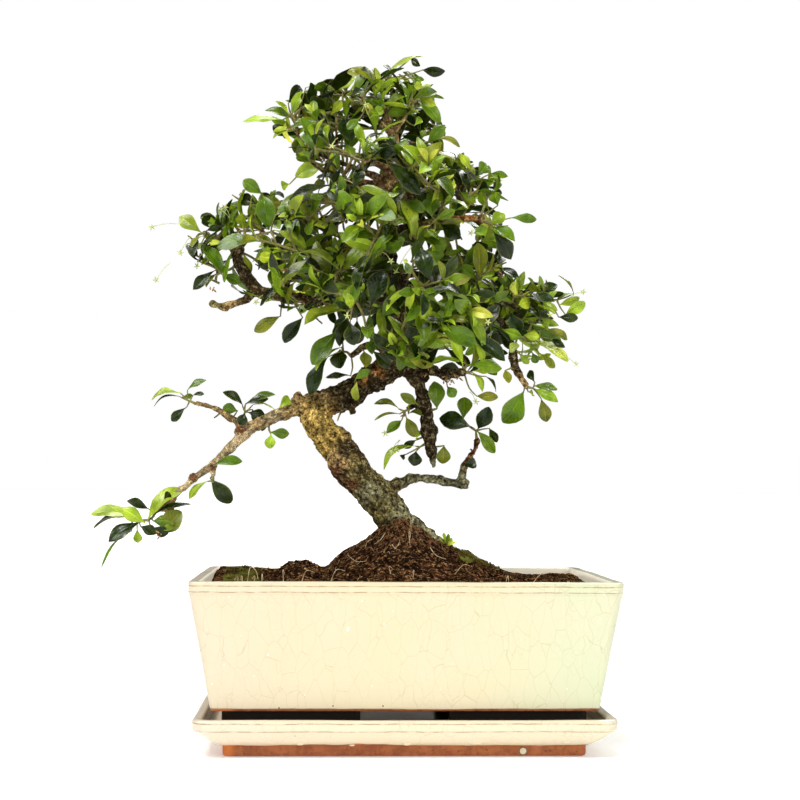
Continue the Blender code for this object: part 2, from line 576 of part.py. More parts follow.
def leaf_mesh(base, tip, face_up, arch, extra=0.0):
    """A thin spoon-shaped leaf from its base on the stem to its tip."""
    along = (tip - base).normalized()
    length = (tip - base).length
    side = along.cross(face_up).normalized()
    upward = side.cross(along)
    width = min(length, LEAF_LONGEST) * LEAF_WIDTH / 2
    outline = ((0.0, 0.07 * width), (0.66, width), (0.97, 0.45 * width))

    def surface(part):
        return base + along * (part * length) + upward * (arch * length * math.sin(math.pi * part))

    right = [surface(part) + side * (half + extra) for part, half in outline]
    left = [surface(part) - side * (half + extra) for part, half in reversed(outline)]
    middle = surface(0.62)
    lift = upward * (LEAF_HALF_THICKNESS + extra)
    points = right + left + [middle + lift, middle - lift]
    count = len(right) + len(left)
    faces = []
    for index in range(count):
        after = (index + 1) % count
        faces.append((index, after, count))
        faces.append((after, index, count + 1))
    return mesh_from(points, faces)


def is_clear(mesh, placed):
    tree = solid_tree(mesh)
    return not any(tree.overlap(other) for other in placed)


def stem_route(wood, points):
    """A stem's route from just off the bark to its last point."""
    foot, normal, _, _ = wood.find_nearest(points[0])
    start = foot + normal * GAP * STEM_START
    reach = (points[0] - start).length
    lift = start + normal * min(STEM_LIFT, reach * 0.4)
    return [start, lift, *points]


def nearest_on_route(route, target, first):
    """Point of a stem nearest to a target, past its first stretch."""
    best = None
    for start, end in zip(route[first:-1], route[first + 1:]):
        span = end - start
        part = min(max((target - start).dot(span) / span.length_squared, 0.0), 0.92)
        point = start + span * part
        if best is None or (target - point).length < (target - best).length:
            best = point
    return best


def shoot_mesh(stem, tips, spare, wood, placed, dice):
    """A stem with its leaves, one solid whose foot stands just off the bark."""
    route = stem_route(wood, [spot(*point) for point in stem])
    pieces = []
    last = route[-1]
    growth = (last - route[0]).normalized()
    for index, (column, row) in enumerate(tips):
        tip = spot(column, row, stem[-1][2] + TIP_SWAY[index % len(TIP_SWAY)])
        base = nearest_on_route(route, tip, 1)
        tilt = Vector((dice.uniform(-0.5, 0.5), dice.uniform(-0.7, 0.2), 1.0))
        add_clear_leaf(pieces, base, tip, tilt + growth * 0.4, dice.uniform(0.03, 0.10), placed)
    across = growth.orthogonal().normalized()
    turn = dice.uniform(0, math.tau)
    for index in range(spare):
        base = last - (last - route[1]).normalized() * min(0.0011 * index, (last - route[1]).length * 0.6)
        for _ in range(6):
            turn += GOLDEN_ANGLE
            outward = Matrix.Rotation(turn, 3, growth) @ across
            slant = math.radians(dice.uniform(42, 82))
            direction = growth * math.cos(slant) + outward * math.sin(slant) + Vector((0, 0, 0.12))
            tip = base + direction.normalized() * dice.uniform(*SPARE_LENGTHS)
            face_up = growth - outward * 0.3 + Vector((0, 0, 0.7))
            if add_clear_leaf(pieces, base, tip, face_up, dice.uniform(0.03, 0.12), placed):
                break
    radii = [STEM_RADIUS] * (len(route) - 1) + [STEM_RADIUS * 0.8]
    return combined(tube(list(zip(route, radii)), STEM_SIDES), pieces, "UNION")


def add_clear_leaf(pieces, base, tip, face_up, arch, placed):
    """Adds a leaf unless it would meet anything that already stands."""
    tester = leaf_mesh(base + (tip - base) * 0.2, tip, face_up, arch, LEAF_CLEARANCE)
    if not is_clear(tester, placed):
        return False
    pieces.append(leaf_mesh(base, tip, face_up, arch))
    return True


def is_sound(mesh):
    """One closed body with no edge too short to hold its place."""
    shape = bmesh.new()
    shape.from_mesh(mesh)
    sound = all(len(edge.link_faces) == 2 and edge.calc_length() > SHORTEST_EDGE for edge in shape.edges)
    reached = {shape.verts[:][0]}
    queue = list(reached)
    while queue:
        vertex = queue.pop()
        for edge in vertex.link_edges:
            neighbour = edge.other_vert(vertex)
            if neighbour not in reached:
                reached.add(neighbour)
                queue.append(neighbour)
    sound = sound and len(reached) == len(shape.verts)
    shape.free()
    return sound


def make_shoot(index, name, stem, tips, spare, wood, placed, material):
    for attempt in range(SHOOT_ATTEMPTS):
        body = shoot_mesh(stem, tips, spare, wood, placed, random.Random(100 * index + attempt))
        if is_sound(body) and is_clear(body, placed):
            break
    placed.append(solid_tree(body))
    return add_object(name, body, material)


def build():
    clear_scene()
    glaze = make_material("cream_glaze", (0.80, 0.76, 0.60), 0.22)
    soil_mix = make_material("soil", (0.050, 0.028, 0.018), 0.95)
    moss = make_material("moss", (0.10, 0.13, 0.02), 0.9)
    bark = make_material("bark", (0.16, 0.12, 0.075), 0.85)
    green = make_material("leaf", (0.035, 0.12, 0.02), 0.35)
    plastic = make_material("drain_mesh", (0.03, 0.03, 0.03), 0.5)
    solids = [make_saucer(glaze), make_pot(glaze), make_soil(soil_mix), make_trunk(bark)]
    solids += [make_drain_mesh(name, side * DRAIN_OFFSET, plastic)
               for name, side in (("drain_mesh_left", -1), ("drain_mesh_right", 1))]
    ground = solid_tree(solids[2].data)
    solids += [make_moss(name, centre, size, ground, moss) for name, centre, size in MOSS_PATCHES]
    wood = solid_tree(solids[3].data)
    placed = [solid_tree(item.data) for item in solids if item.name in
              ("pot", "soil", "trunk", "moss_left", "moss_right")]
    for index, (name, stem, tips, spare) in enumerate(SHOOTS):
        make_shoot(index, name, stem, tips, spare, wood, placed, green)


build()
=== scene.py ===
# Visual model of a fukien tea bonsai in a cream crackle-glazed pot that stands on its saucer.
# Same frame as the CAD: metres, +Z up, X to the right, Y away from the viewer.

import json
import math
import random
from contextlib import contextmanager

import bmesh
import bpy
import numpy as np
from mathutils import Matrix, Vector, noise
from mathutils.bvhtree import BVHTree
from mathutils.kdtree import KDTree

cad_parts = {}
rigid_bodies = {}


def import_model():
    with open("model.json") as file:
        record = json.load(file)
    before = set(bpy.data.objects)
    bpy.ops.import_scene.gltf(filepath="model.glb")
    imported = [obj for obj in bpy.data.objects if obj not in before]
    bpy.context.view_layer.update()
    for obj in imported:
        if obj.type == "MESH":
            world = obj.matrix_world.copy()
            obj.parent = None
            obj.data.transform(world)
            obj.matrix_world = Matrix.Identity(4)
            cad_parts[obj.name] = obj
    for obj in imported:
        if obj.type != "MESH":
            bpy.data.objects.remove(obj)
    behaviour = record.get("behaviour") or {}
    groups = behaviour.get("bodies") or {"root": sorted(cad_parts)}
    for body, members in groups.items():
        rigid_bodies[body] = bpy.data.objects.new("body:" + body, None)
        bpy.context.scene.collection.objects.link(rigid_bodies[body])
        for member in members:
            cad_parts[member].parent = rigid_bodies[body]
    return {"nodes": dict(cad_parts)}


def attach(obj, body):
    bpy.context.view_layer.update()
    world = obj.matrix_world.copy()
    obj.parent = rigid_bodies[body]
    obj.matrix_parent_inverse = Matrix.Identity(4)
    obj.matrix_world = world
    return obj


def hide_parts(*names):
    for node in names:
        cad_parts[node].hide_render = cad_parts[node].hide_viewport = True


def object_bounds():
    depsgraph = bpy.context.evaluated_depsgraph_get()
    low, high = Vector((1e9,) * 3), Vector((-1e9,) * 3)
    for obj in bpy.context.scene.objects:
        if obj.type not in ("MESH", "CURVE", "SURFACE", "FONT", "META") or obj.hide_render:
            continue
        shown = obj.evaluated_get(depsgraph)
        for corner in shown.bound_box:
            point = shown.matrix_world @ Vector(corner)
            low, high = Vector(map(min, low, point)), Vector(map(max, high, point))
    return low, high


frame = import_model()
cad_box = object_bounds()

MM = 0.001
NOISE_SEED = 7
noise.seed_set(NOISE_SEED)      # noise_vector would take its offsets from the clock otherwise

# The photograph's view, in which wood and leaves are placed by column, row and depth
VIEW_POSITION = Vector((-0.0465, -1.0891, 0.1630))
VIEW_TURN = math.radians(2.39)
VIEW_LIFT = math.radians(2.90)
VIEW_ROLL = math.radians(0.31)
VIEW_FOCAL = 1673.3             # photo pixels
VIEW_MIDDLE = 400.0             # photo pixels
VIEW_SIDE = 800                 # photo pixels
SENSOR = 36.0                   # mm
VIEW_AIM = (Matrix.Rotation(-VIEW_TURN, 3, "Z") @ Matrix.Rotation(VIEW_LIFT, 3, "X")
            @ Matrix.Rotation(-VIEW_ROLL, 3, "Y"))

# Saucer
SAUCER_WIDTH = 0.254
SAUCER_DEPTH = 0.187
SAUCER_HEIGHT = 0.0238
SAUCER_FLOOR = 0.0130
SAUCER_BASE_HEIGHT = 0.0065
SAUCER_BAND_BOTTOM = 0.0170
SAUCER_FLARE = 0.0175
SAUCER_CORNER = 0.010

# Pot
POT_WIDTH = 0.260
POT_DEPTH = 0.191
POT_BOTTOM = 0.0277
POT_RIM_TOP = 0.1045
POT_LIP_BOTTOM = 0.0975
POT_TAPER = 0.0135
POT_WALL = 0.0072
POT_FLOOR = 0.0083
POT_CORNER = 0.008
FOOT_INSET = 0.006
FOOT_WALL = 0.011
FOOT_LOW = 0.0133
FRONT_ARCH = 0.054
SIDE_ARCH = 0.046
DRAIN_RADIUS = 0.011
DRAIN_OFFSET = 0.055

# Steps of the outlines of pot and saucer
SIDE_STEP = 0.004
CORNER_STEPS = 8
COVE_STEPS = 9
PROFILE_STEP = 0.006
SPECK_FLATNESS = 0.18           # height of an iron speck over its radius

# Soil
SOIL_LEVEL = 0.1000
MOUND_CENTRE = (0.004, 0.0)
MOUND_HEIGHT = 0.038
MOUND_SPREAD = (0.0485, 0.0445)     # to its left and to its right
MOUND_POWER = (1.95, 1.55)
BUMP_CENTRE = (-0.066, 0.004)
BUMP_HEIGHT = 0.010
BUMP_SPREAD = 0.017
SOIL_CELL = 0.00095
MOSS_EDGE = 0.1215

# Trunk: photo column and row, depth in mm, radius in mm
TRUNK = (
    (412, 566, 0, 14.5), (407, 545, 0, 13.6), (396, 522, 0, 12.0), (379, 500, 0, 11.8),
    (356, 474, -1, 11.8), (336, 448, -2, 11.2), (320, 426, -2, 10.6), (314, 407, -1, 9.6),
    (329, 402, 1, 9.0), (346, 395, 2, 9.0), (364, 383, 2, 9.0), (383, 372, 1, 8.7),
    (400, 362, 0, 8.0), (405, 342, 0, 7.4), (399, 312, 0, 6.8), (392, 280, 2, 6.4),
    (387, 250, 3, 6.0), (389, 215, 2, 5.3), (389, 178, 0, 4.8), (394, 142, -2, 3.6),
    (386, 116, -4, 2.4), (387, 92, -6, 1.6),
)

# Roots that run from the trunk's foot into the mound
ROOTS = (
    ((398, 524, 0, 9.0), (415, 530, -3, 6.0), (430, 545, -6, 4.4), (438, 562, -8, 3.6)),
    ((398, 533, 0, 8.0), (386, 544, -8, 5.0), (374, 558, -13, 4.0)),
    ((398, 532, 0, 9.0), (400, 545, -14, 6.0), (398, 562, -25, 4.2)),
    ((398, 530, 0, 9.0), (392, 544, 14, 6.0), (386, 562, 26, 4.2)),
    ((400, 532, 0, 9.0), (414, 546, 10, 5.0), (424, 562, 18, 4.0)),
)

# Limbs and twigs, in the same form as the trunk
LIMBS = (
    # low left branch, its two twigs and a pendant one
    ((318, 408, -1, 8.0), (299, 406, -3, 5.8), (286, 413, -6, 4.6), (268, 419, -9, 4.0),
     (245, 431, -12, 3.6)),
    ((252, 427, -11, 3.2), (234, 420, -12, 2.3), (214, 408, -14, 1.9), (195, 403, -15, 1.5)),
    ((252, 427, -11, 3.4), (232, 446, -13, 3.0), (213, 464, -15, 2.6), (190, 482, -18, 2.4),
     (168, 502, -20, 2.0), (160, 511, -21, 1.6)),
    ((173, 498, -20, 2.0), (168, 516, -19, 1.9), (162, 533, -18, 1.7)),
    ((220, 458, -14, 2.2), (214, 468, -15, 1.5), (213, 477, -16, 1.3)),
    # low right branch with its cut end and a twig up
    ((372, 488, 0, 6.0), (396, 485, 1, 3.8), (416, 478, 2, 3.0), (440, 481, 4, 2.8),
     (469, 485, 5, 2.6)),
    ((461, 484, 5, 2.8), (464, 468, 4, 2.3), (475, 449, 3, 1.5), (477, 438, 2, 1.7)),
    # hanging limb under the crown
    ((404, 362, 0, 6.0), (416, 378, -8, 5.0), (422, 395, -10, 4.3), (426, 411, -11, 4.2),
     (428, 427, -12, 4.4), (430, 443, -12, 3.9), (432, 455, -12, 3.0), (434, 468, -12, 0.8)),
    ((424, 402, -10, 1.9), (414, 406, -13, 1.4), (408, 409, -14, 1.3)),
    # left middle limb: a cut stub, and a dark limb that climbs
    ((397, 302, 0, 5.2), (350, 302, -8, 4.4), (310, 299, -13, 4.0), (281, 296, -16, 3.6),
     (257, 290, -18, 3.6), (245, 300, -19, 3.4), (223, 306, -20, 2.7), (210, 303, -20, 2.4)),
    ((262, 293, -18, 4.4), (250, 282, -17, 5.2), (239, 263, -14, 5.1), (237, 247, -12, 4.0),
     (245, 236, -10, 1.8)),
    ((286, 297, -16, 2.8), (288, 276, -28, 2.2), (297, 258, -44, 1.5)),
    # upper left limb
    ((389, 184, 0, 4.0), (362, 183, -5, 3.0), (340, 180, -8, 2.5), (326, 170, -10, 2.0),
     (336, 148, -10, 1.7), (336, 123, -9, 1.3)),
    ((332, 175, -9, 2.2), (312, 162, -4, 1.9), (300, 140, -3, 1.6), (296, 122, -3, 1.3)),
    # right middle limb, cut bare at its end
    ((388, 232, 2, 4.4), (418, 225, -4, 3.6), (449, 219, -8, 3.2), (482, 219, -10, 2.6)),
    # upper right limbs
    ((389, 203, 1, 4.0), (430, 190, 3, 2.8), (456, 187, 3, 2.0), (471, 186, 3, 1.4)),
    ((394, 150, -2, 3.2), (410, 144, -4, 2.2), (423, 143, -5, 1.4)),
    ((392, 134, -3, 2.6), (405, 118, -2, 1.9), (409, 110, -2, 1.4)),
    # long right limb and its forks
    ((400, 318, 0, 5.4), (430, 318, -5, 4.2), (462, 311, -9, 3.6), (490, 304, -10, 3.0),
     (513, 304, -8, 2.4), (535, 301, -5, 1.9), (551, 301, -3, 1.4)),
    ((484, 306, -10, 2.6), (500, 320, -8, 2.4), (511, 342, -6, 2.4), (514, 364, -5, 3.2),
     (520, 376, -4, 2.7), (527, 388, -4, 1.8)),
    ((400, 290, 1, 4.4), (430, 279, 0, 3.0), (455, 279, -1, 2.2), (476, 281, -2, 1.4)),
    # knobby limb at the lower right of the crown
    ((404, 360, 0, 6.0), (428, 369, 0, 3.6), (446, 374, -2, 3.2), (460, 372, -4, 2.2)),
    # small limb in front of the second bend
    ((394, 366, -2, 4.6), (382, 349, -10, 3.0), (366, 346, -14, 2.6), (350, 357, -17, 1.7)),
    # limbs towards the viewer
    ((396, 302, 0, 4.0), (376, 302, -26, 2.8), (359, 300, -54, 1.4)),
    ((404, 344, 0, 4.0), (408, 340, -26, 2.6), (403, 342, -50, 1.4)),
    ((393, 282, 1, 4.0), (410, 285, -32, 2.8), (419, 288, -60, 1.4)),
    ((388, 246, 3, 4.0), (383, 240, -30, 2.8), (379, 238, -62, 1.4)),
    ((389, 190, 1, 3.6), (400, 174, -24, 2.4), (409, 168, -44, 1.4)),
    ((391, 168, 0, 3.4), (370, 160, -22, 2.2), (354, 157, -40, 1.4)),
    ((388, 220, 2, 3.8), (356, 209, -26, 2.4), (330, 202, -48, 1.4)),
    ((450, 314, -7, 2.8), (453, 311, -32, 2.2), (455, 310, -54, 1.4)),
    ((394, 138, -3, 2.6), (376, 118, -16, 1.9), (365, 104, -27, 1.4)),
    # limbs at the back of the crown
    ((388, 224, 2, 4.4), (387, 207, 38, 3.0), (385, 200, 74, 1.5)),
    ((391, 270, 2, 4.8), (398, 278, 42, 3.4), (400, 288, 84, 1.6)),
    ((401, 330, 0, 4.6), (412, 343, 34, 2.8), (419, 351, 62, 1.5)),
    ((428, 191, 3, 2.4), (443, 183, 32, 2.0), (454, 181, 56, 1.4)),
    ((398, 278, 42, 2.8), (434, 270, 58, 2.2), (467, 262, 70, 1.4)),
    ((476, 308, -9, 2.6), (490, 316, 26, 2.2), (499, 320, 54, 1.4)),
    ((388, 243, 3, 4.4), (352, 240, 30, 3.0), (322, 228, 48, 2.2), (304, 221, 60, 1.4)),
    ((348, 239, 32, 2.4), (337, 264, 54, 2.0), (331, 280, 70, 1.4)),
    ((389, 182, 0, 3.6), (350, 166, 24, 2.2), (314, 153, 44, 1.4)),
    ((394, 142, -2, 2.8), (398, 126, 18, 2.0), (400, 118, 34, 1.4)),
)


def srgb(red, green, blue):
    """Linear colour from 0 to 255 display values."""
    parts = [value / 255 for value in (red, green, blue)]
    return tuple(p / 12.92 if p < 0.04 else ((p + 0.055) / 1.055) ** 2.4 for p in parts) + (1.0,)


class Value:
    """An output of a material's node, which can be added, subtracted and multiplied."""

    def __init__(self, shader, socket):
        self.shader = shader
        self.socket = socket

    def __add__(self, other):
        return self.shader.math("ADD", self, other)

    def __sub__(self, other):
        return self.shader.math("SUBTRACT", self, other)

    def __mul__(self, other):
        return self.shader.math("MULTIPLY", self, other)

    def __abs__(self):
        return self.shader.math("ABSOLUTE", self)


class Shader:
    """A material's node tree, with short calls for the nodes it needs."""

    def __init__(self, name):
        self.material = bpy.data.materials.new(name)
        self.material.use_nodes = True
        self.tree = self.material.node_tree
        self.place = self.add("TexCoord", {}, output=3)

    def add(self, kind, inputs, output=0, **settings):
        item = self.tree.nodes.new("ShaderNode" + kind)
        for key, value in settings.items():
            setattr(item, key, value)
        for key, value in inputs.items():
            self.join(item.inputs[key], value)
        return Value(self, item.outputs[output])

    def join(self, socket, value):
        if isinstance(value, Value):
            self.tree.links.new(value.socket, socket)
        else:
            socket.default_value = value

    def finish(self, **inputs):
        """Sets the surface's inputs and gives the finished material."""
        surface = self.tree.nodes["Principled BSDF"]
        for key, value in inputs.items():
            self.join(surface.inputs[key.replace("_", " ")], value)
        return self.material

    def attribute(self, name, output=0):
        return self.add("Attribute", {}, output, attribute_name=name)

    def noise(self, scale, detail=3.0, rough=0.55, place=None, output=0):
        return self.add("TexNoise", {"Vector": place or self.place, "Scale": scale, "Detail": detail,
                                     "Roughness": rough}, output)

    def edges(self, scale, place):
        """Distance from the borders of random cells."""
        return self.add("TexVoronoi", {"Vector": place, "Scale": scale}, feature="DISTANCE_TO_EDGE")

    def stretched(self, scale, place=None):
        return self.add("Mapping", {"Vector": place or self.place, "Scale": scale})

    def warped(self, scale, amount):
        """The place, pushed about by noise of a scale."""
        push = self.add("VectorMath", {0: self.noise(scale, 2.0, output=1), 1: (0.5, 0.5, 0.5)},
                        operation="SUBTRACT")
        push = self.add("VectorMath", {0: push, "Scale": amount}, operation="SCALE")
        return self.add("VectorMath", {0: self.place, 1: push})

    def remap(self, value, low, high, out_low=0.0, out_high=1.0):
        return self.add("MapRange", {"Value": value, "From Min": low, "From Max": high,
                                     "To Min": out_low, "To Max": out_high},
                        interpolation_type="SMOOTHSTEP")

    def math(self, operation, first, second=0.0):
        return self.add("Math", {0: first, 1: second}, operation=operation)

    def mix(self, amount, first, second, blend="MIX"):
        return self.add("Mix", {0: amount, 6: first, 7: second}, 2, data_type="RGBA", blend_type=blend)

    def times(self, base, colour):
        return self.mix(1.0, base, colour, "MULTIPLY")

    def layers(self, base, *rows):
        """Lays colours over a base: noise settings, where the noise shows and how much, and the colour."""
        for settings, limits, colour in rows:
            base = self.mix(self.remap(self.noise(*settings), *limits), base, colour)
        return base

    def bump(self, height, strength, distance, before=None):
        inputs = {"Height": height, "Strength": strength, "Distance": distance}
        if before:
            inputs["Normal"] = before
        return self.add("Bump", inputs)

    def axis(self, index, place=None):
        return self.add("SeparateXYZ", {0: place or self.place}, index)


def crackle(shader, scale, width, fade_low, fade_high, fade_scale):
    """Thin crack lines between cells, which fade in and out over the surface."""
    edge = shader.edges(scale, shader.stretched((1.0, 1.0, 0.42), shader.warped(48.0, 0.0065)))
    fade = shader.remap(shader.noise(fade_scale, 2.0), fade_low, fade_high)
    return shader.remap(edge, 0.0, width, 1.0, 0.0) * fade


def glaze_material(name, edge_height, wave, lines, painted_shade_low, painted_shade_high, creams, glow=0.0):
    """Cream crackle glaze down to a wavy edge at a height, bare terracotta below it, and thin brown
    lines at the heights where the glaze breaks over an edge. Below a given height the clay turns near
    black: painted shade for the pot's feet, which stand in the shade under the pot."""
    shader = Shader(name)
    height = shader.axis(2)
    across = shader.axis(0) + shader.noise(9.0, 2.0) * 0.10
    left, middle, right = creams
    cream = shader.mix(shader.remap(across, -0.10, 0.04), left, middle)
    cream = shader.mix(shader.remap(across, 0.08, 0.19), cream, right)
    cream = shader.mix(shader.remap(shader.noise(28.0, 4.0), 0.35, 0.75) * 0.35, cream, srgb(223, 213, 188))
    main = crackle(shader, 124.0, 0.018, 0.30, 0.50, 21.0)
    fine = crackle(shader, 225.0, 0.020, 0.44, 0.60, 34.0)
    cream = shader.mix(main * 0.30, cream, srgb(166, 146, 92))
    cream = shader.mix(fine * 0.22, cream, srgb(166, 148, 96))
    uneven = (shader.noise(60.0, 2.0) - 0.5) * 0.0012
    strength = shader.remap(shader.noise(160.0, 3.0), 0.30, 0.62, 0.12, 0.80)
    for line in lines:
        near = shader.remap(abs(height + uneven - line), 0.00012, 0.00050, 1.0, 0.0)
        cream = shader.mix(near * strength, cream, srgb(160, 128, 88))

    mottle = shader.remap(shader.noise(190.0, 5.0, 0.7), 0.38, 0.62)
    clay = shader.mix(mottle, srgb(172, 102, 60), srgb(146, 82, 47))
    clay = shader.layers(clay, ((420.0, 3.0), (0.58, 0.72), srgb(118, 62, 40)))
    clay = shader.mix(shader.remap(shader.axis(0), -0.100, -0.106), clay, srgb(204, 116, 56))
    # Painted shade: near-black clay below a given height, for the feet in the shade under the pot.
    clay = shader.mix(shader.remap(height, painted_shade_low, painted_shade_high, 0.985, 0.0), clay, srgb(14, 11, 5))
    over = height + (shader.noise(30.0, 3.0) - 0.5) * (wave * 5.0) - edge_height
    glazed = shader.remap(over, 0.0, 0.00025)
    cream = shader.mix(shader.remap(over, 0.0001, 0.0006, 1.0, 0.0) * 0.92, cream, srgb(92, 60, 34))
    relief = shader.bump(shader.noise(520.0, 4.0), 0.22, 0.0004)
    relief = shader.bump(shader.noise(60.0, 2.0), 0.10, 0.002, relief)
    # The glow is painted light: the glaze shines by itself, though it is no lamp.
    glowing = {"Emission_Color": creams[0], "Emission_Strength": glow} if glow else {}
    return shader.finish(Base_Color=shader.mix(glazed, clay, cream), IOR=1.5,
                         Roughness=shader.math("SUBTRACT", 0.86, glazed * 0.68),
                         Normal=shader.bump(main * -1.0, 0.12, 0.0002, relief), **glowing)


def grained_material(name, dark, light, rough, grain, limits, bump, **inputs):
    """A plain material whose colour runs from dark to light with a fine noise."""
    shader = Shader(name)
    amount = shader.noise(*grain)
    if limits:
        amount = shader.remap(amount, *limits)
    if bump:
        scale, strength, depth = bump
        inputs["Normal"] = shader.bump(shader.noise(scale, 3.0), strength, depth)
    return shader.finish(Base_Color=shader.mix(amount, dark, light), Roughness=rough, **inputs)


def soil_material():
    """Dark fibrous potting soil: each grain has its own tone in the attribute tone."""
    shader = Shader("potting_soil")
    threads = shader.stretched((1.0, 0.35, 1.0), shader.warped(120.0, 0.004))
    fibre = shader.remap(shader.noise(330.0, 5.0, 0.75, threads), 0.42, 0.55)
    base = shader.layers(shader.mix(fibre, srgb(17, 8, 3), shader.attribute("tone")),
                         ((480.0, 4.0, 0.7), (0.54, 0.66, 0.0, 0.9), srgb(178, 136, 92)),
                         ((70.0, 3.0), (0.50, 0.64, 0.0, 0.62), srgb(22, 13, 6)))
    rough = shader.bump(shader.noise(1300.0, 4.0, 0.7), 0.6, 0.0006)
    return shader.finish(Base_Color=base, Roughness=0.95, Specular_IOR_Level=0.0,
                         Normal=shader.bump(shader.noise(520.0, 4.0, 0.7), 0.7, 0.0009, rough))


def fibre_material(name, dark, light):
    shader = Shader(name)
    grain = shader.noise(500.0, 4.0, 0.7, shader.stretched((1.0, 1.0, 0.4)))
    return shader.finish(Base_Color=shader.mix(shader.remap(grain, 0.38, 0.62), dark, light), Roughness=0.85,
                         Specular_IOR_Level=0.0, Normal=shader.bump(grain, 0.5, 0.0004))


def moss_material():
    shader = Shader("cushion_moss")
    patch = shader.remap(shader.noise(95.0, 4.0), 0.36, 0.64)
    base = shader.layers(shader.mix(patch, srgb(76, 54, 28), srgb(104, 108, 42)),
                         ((200.0, 4.0, 0.7), (0.48, 0.56), srgb(42, 28, 15)))
    base = shader.mix(shader.attribute("tuft_tip", 2) * patch, base, srgb(166, 168, 84))
    return shader.finish(Base_Color=base, Roughness=0.92, Specular_IOR_Level=0.0,
                         Normal=shader.bump(shader.noise(1500.0, 3.0), 0.6, 0.0006))


def bark_material():
    """Bark: the attribute bark holds the local colour and, as alpha, how rugged it is. The attribute
    crevice says how deep a point lies between plates."""
    shader = Shader("tree_bark")
    base = shader.layers(shader.attribute("bark"),
                         ((140.0, 5.0, 0.65), (0.30, 0.52, 0.60, 0.0), srgb(48, 37, 24)),
                         ((260.0, 4.0, 0.7), (0.60, 0.70, 0.0, 0.5), srgb(104, 62, 32)),
                         ((62.0, 4.0, 0.6), (0.36, 0.50, 0.55, 0.0), srgb(52, 44, 24)))
    flecks = shader.noise(400.0, 5.0, 0.72, shader.warped(180.0, 0.003))
    fine = shader.noise(760.0, 3.0, 0.7)
    rugged = shader.attribute("bark", 3)
    base = shader.mix(shader.remap(flecks, 0.39, 0.485, 0.95, 0.0) * rugged, base, srgb(20, 13, 6))
    light = shader.mix(0.40, shader.times(base, (2.9, 3.0, 3.0, 1.0)), srgb(234, 220, 170))
    base = shader.mix(shader.remap(flecks, 0.525, 0.61, 0.0, 0.82), base, light)
    base = shader.mix(shader.remap(fine, 0.37, 0.48, 0.70, 0.0) * rugged, base, srgb(26, 17, 9))
    base = shader.mix(shader.remap(fine, 0.58, 0.68, 0.0, 0.45), base, light)
    # Painted shade: the bark is darker deep in the crevices between its plates.
    base = shader.mix(shader.attribute("crevice", 2) * 0.72, base, srgb(46, 34, 22))
    flakes = shader.edges(520.0, shader.warped(260.0, 0.003))
    base = shader.mix(shader.remap(flakes, 0.0, 0.10, 0.45, 0.0), base, srgb(60, 45, 28))
    rough = shader.bump(flecks + fine, 1.0, 0.0016)
    return shader.finish(Base_Color=base, Roughness=0.82, Specular_IOR_Level=0.03,
                         Normal=shader.bump(flakes, 0.6, 0.0007, rough))


def leaf_material(name, tint, roughness, gain, gloss):
    """One side of a leaf. UV runs across and along the blade; leaf_tone is the leaf's own colour."""
    shader = Shader(name)
    blade = shader.add("UVMap", {}, uv_map="blade")
    side = abs(shader.axis(0, blade) - 0.5)
    wave = shader.math("SINE", (shader.axis(1, blade) - side * 0.62) * 52.0)
    veins = shader.remap(wave, 0.72, 1.0) * shader.remap(side, 0.03, 0.10)
    midrib = shader.remap(side, 0.012, 0.045, 1.0, 0.0)
    base = shader.times(shader.attribute("leaf_tone"), tint)
    base = shader.layers(base, ((260.0, 4.0, 0.6), (0.30, 0.70, 0.0, 0.05), srgb(150, 172, 40)))
    pale = shader.times(base, (1.9, 1.7, 1.9, 1.0))
    base = shader.mix(veins * gain, base, pale)
    base = shader.mix(midrib * (gain * 2.0), base, pale)
    dark, light = shader.times(base, (0.62, 0.66, 0.70, 1.0)), shader.times(base, (1.24, 1.20, 1.10, 1.0))
    base = shader.mix(shader.remap(shader.noise(85.0, 3.0), 0.34, 0.66), dark, light)
    base = shader.mix(shader.remap(side, 0.42, 0.49, 0.0, 0.34), base, srgb(146, 152, 62))
    base = shader.layers(base, ((1400.0, 2.0), (0.66, 0.74, 0.0, 0.04), srgb(190, 196, 110)))
    uneven = shader.remap(shader.noise(300.0, 3.0), 0.3, 0.7, roughness - 0.06, roughness + 0.08)
    return shader.finish(Base_Color=base, Roughness=uneven, Specular_IOR_Level=gloss,
                         Normal=shader.bump(veins + shader.noise(700.0, 3.0), 0.28, 0.0004))


def up(height):
    return Vector((0.0, 0.0, height))


def blend(first, second, part):
    return first + (second - first) * part


def circle(count, first=0.0):
    """Cosines and sines of even steps around a circle."""
    angles = [first + math.tau * k / count for k in range(count)]
    return [(math.cos(angle), math.sin(angle)) for angle in angles]


def linked(name, data):
    """A new object in the scene."""
    item = bpy.data.objects.new(name, data)
    bpy.context.scene.collection.objects.link(item)
    return item


def applied(item, *others):
    """The mesh of an object with its modifiers, after which the object and its helpers are removed."""
    depsgraph = bpy.context.evaluated_depsgraph_get()
    result = bpy.data.meshes.new_from_object(item.evaluated_get(depsgraph))
    for unused in (item, *others):
        bpy.data.objects.remove(unused, do_unlink=True)
    return result


@contextmanager
def editing(mesh):
    """A bmesh of a mesh, which is written back to it."""
    builder = bmesh.new()
    builder.from_mesh(mesh)
    yield builder
    builder.to_mesh(mesh)
    builder.free()


def spot(column, row, depth):
    """Point seen at a photo column and row, at a depth in mm behind the pot's middle."""
    ray = VIEW_AIM @ Vector(((column - VIEW_MIDDLE) / VIEW_FOCAL, 1.0, (VIEW_MIDDLE - row) / VIEW_FOCAL))
    return VIEW_POSITION + ray * ((depth * MM - VIEW_POSITION.y) / ray.y)


def seen_at(point):
    """Photo column and row at which a point is seen."""
    local = VIEW_AIM.transposed() @ (point - VIEW_POSITION)
    return VIEW_MIDDLE + VIEW_FOCAL * local.x / local.y, VIEW_MIDDLE - VIEW_FOCAL * local.z / local.y


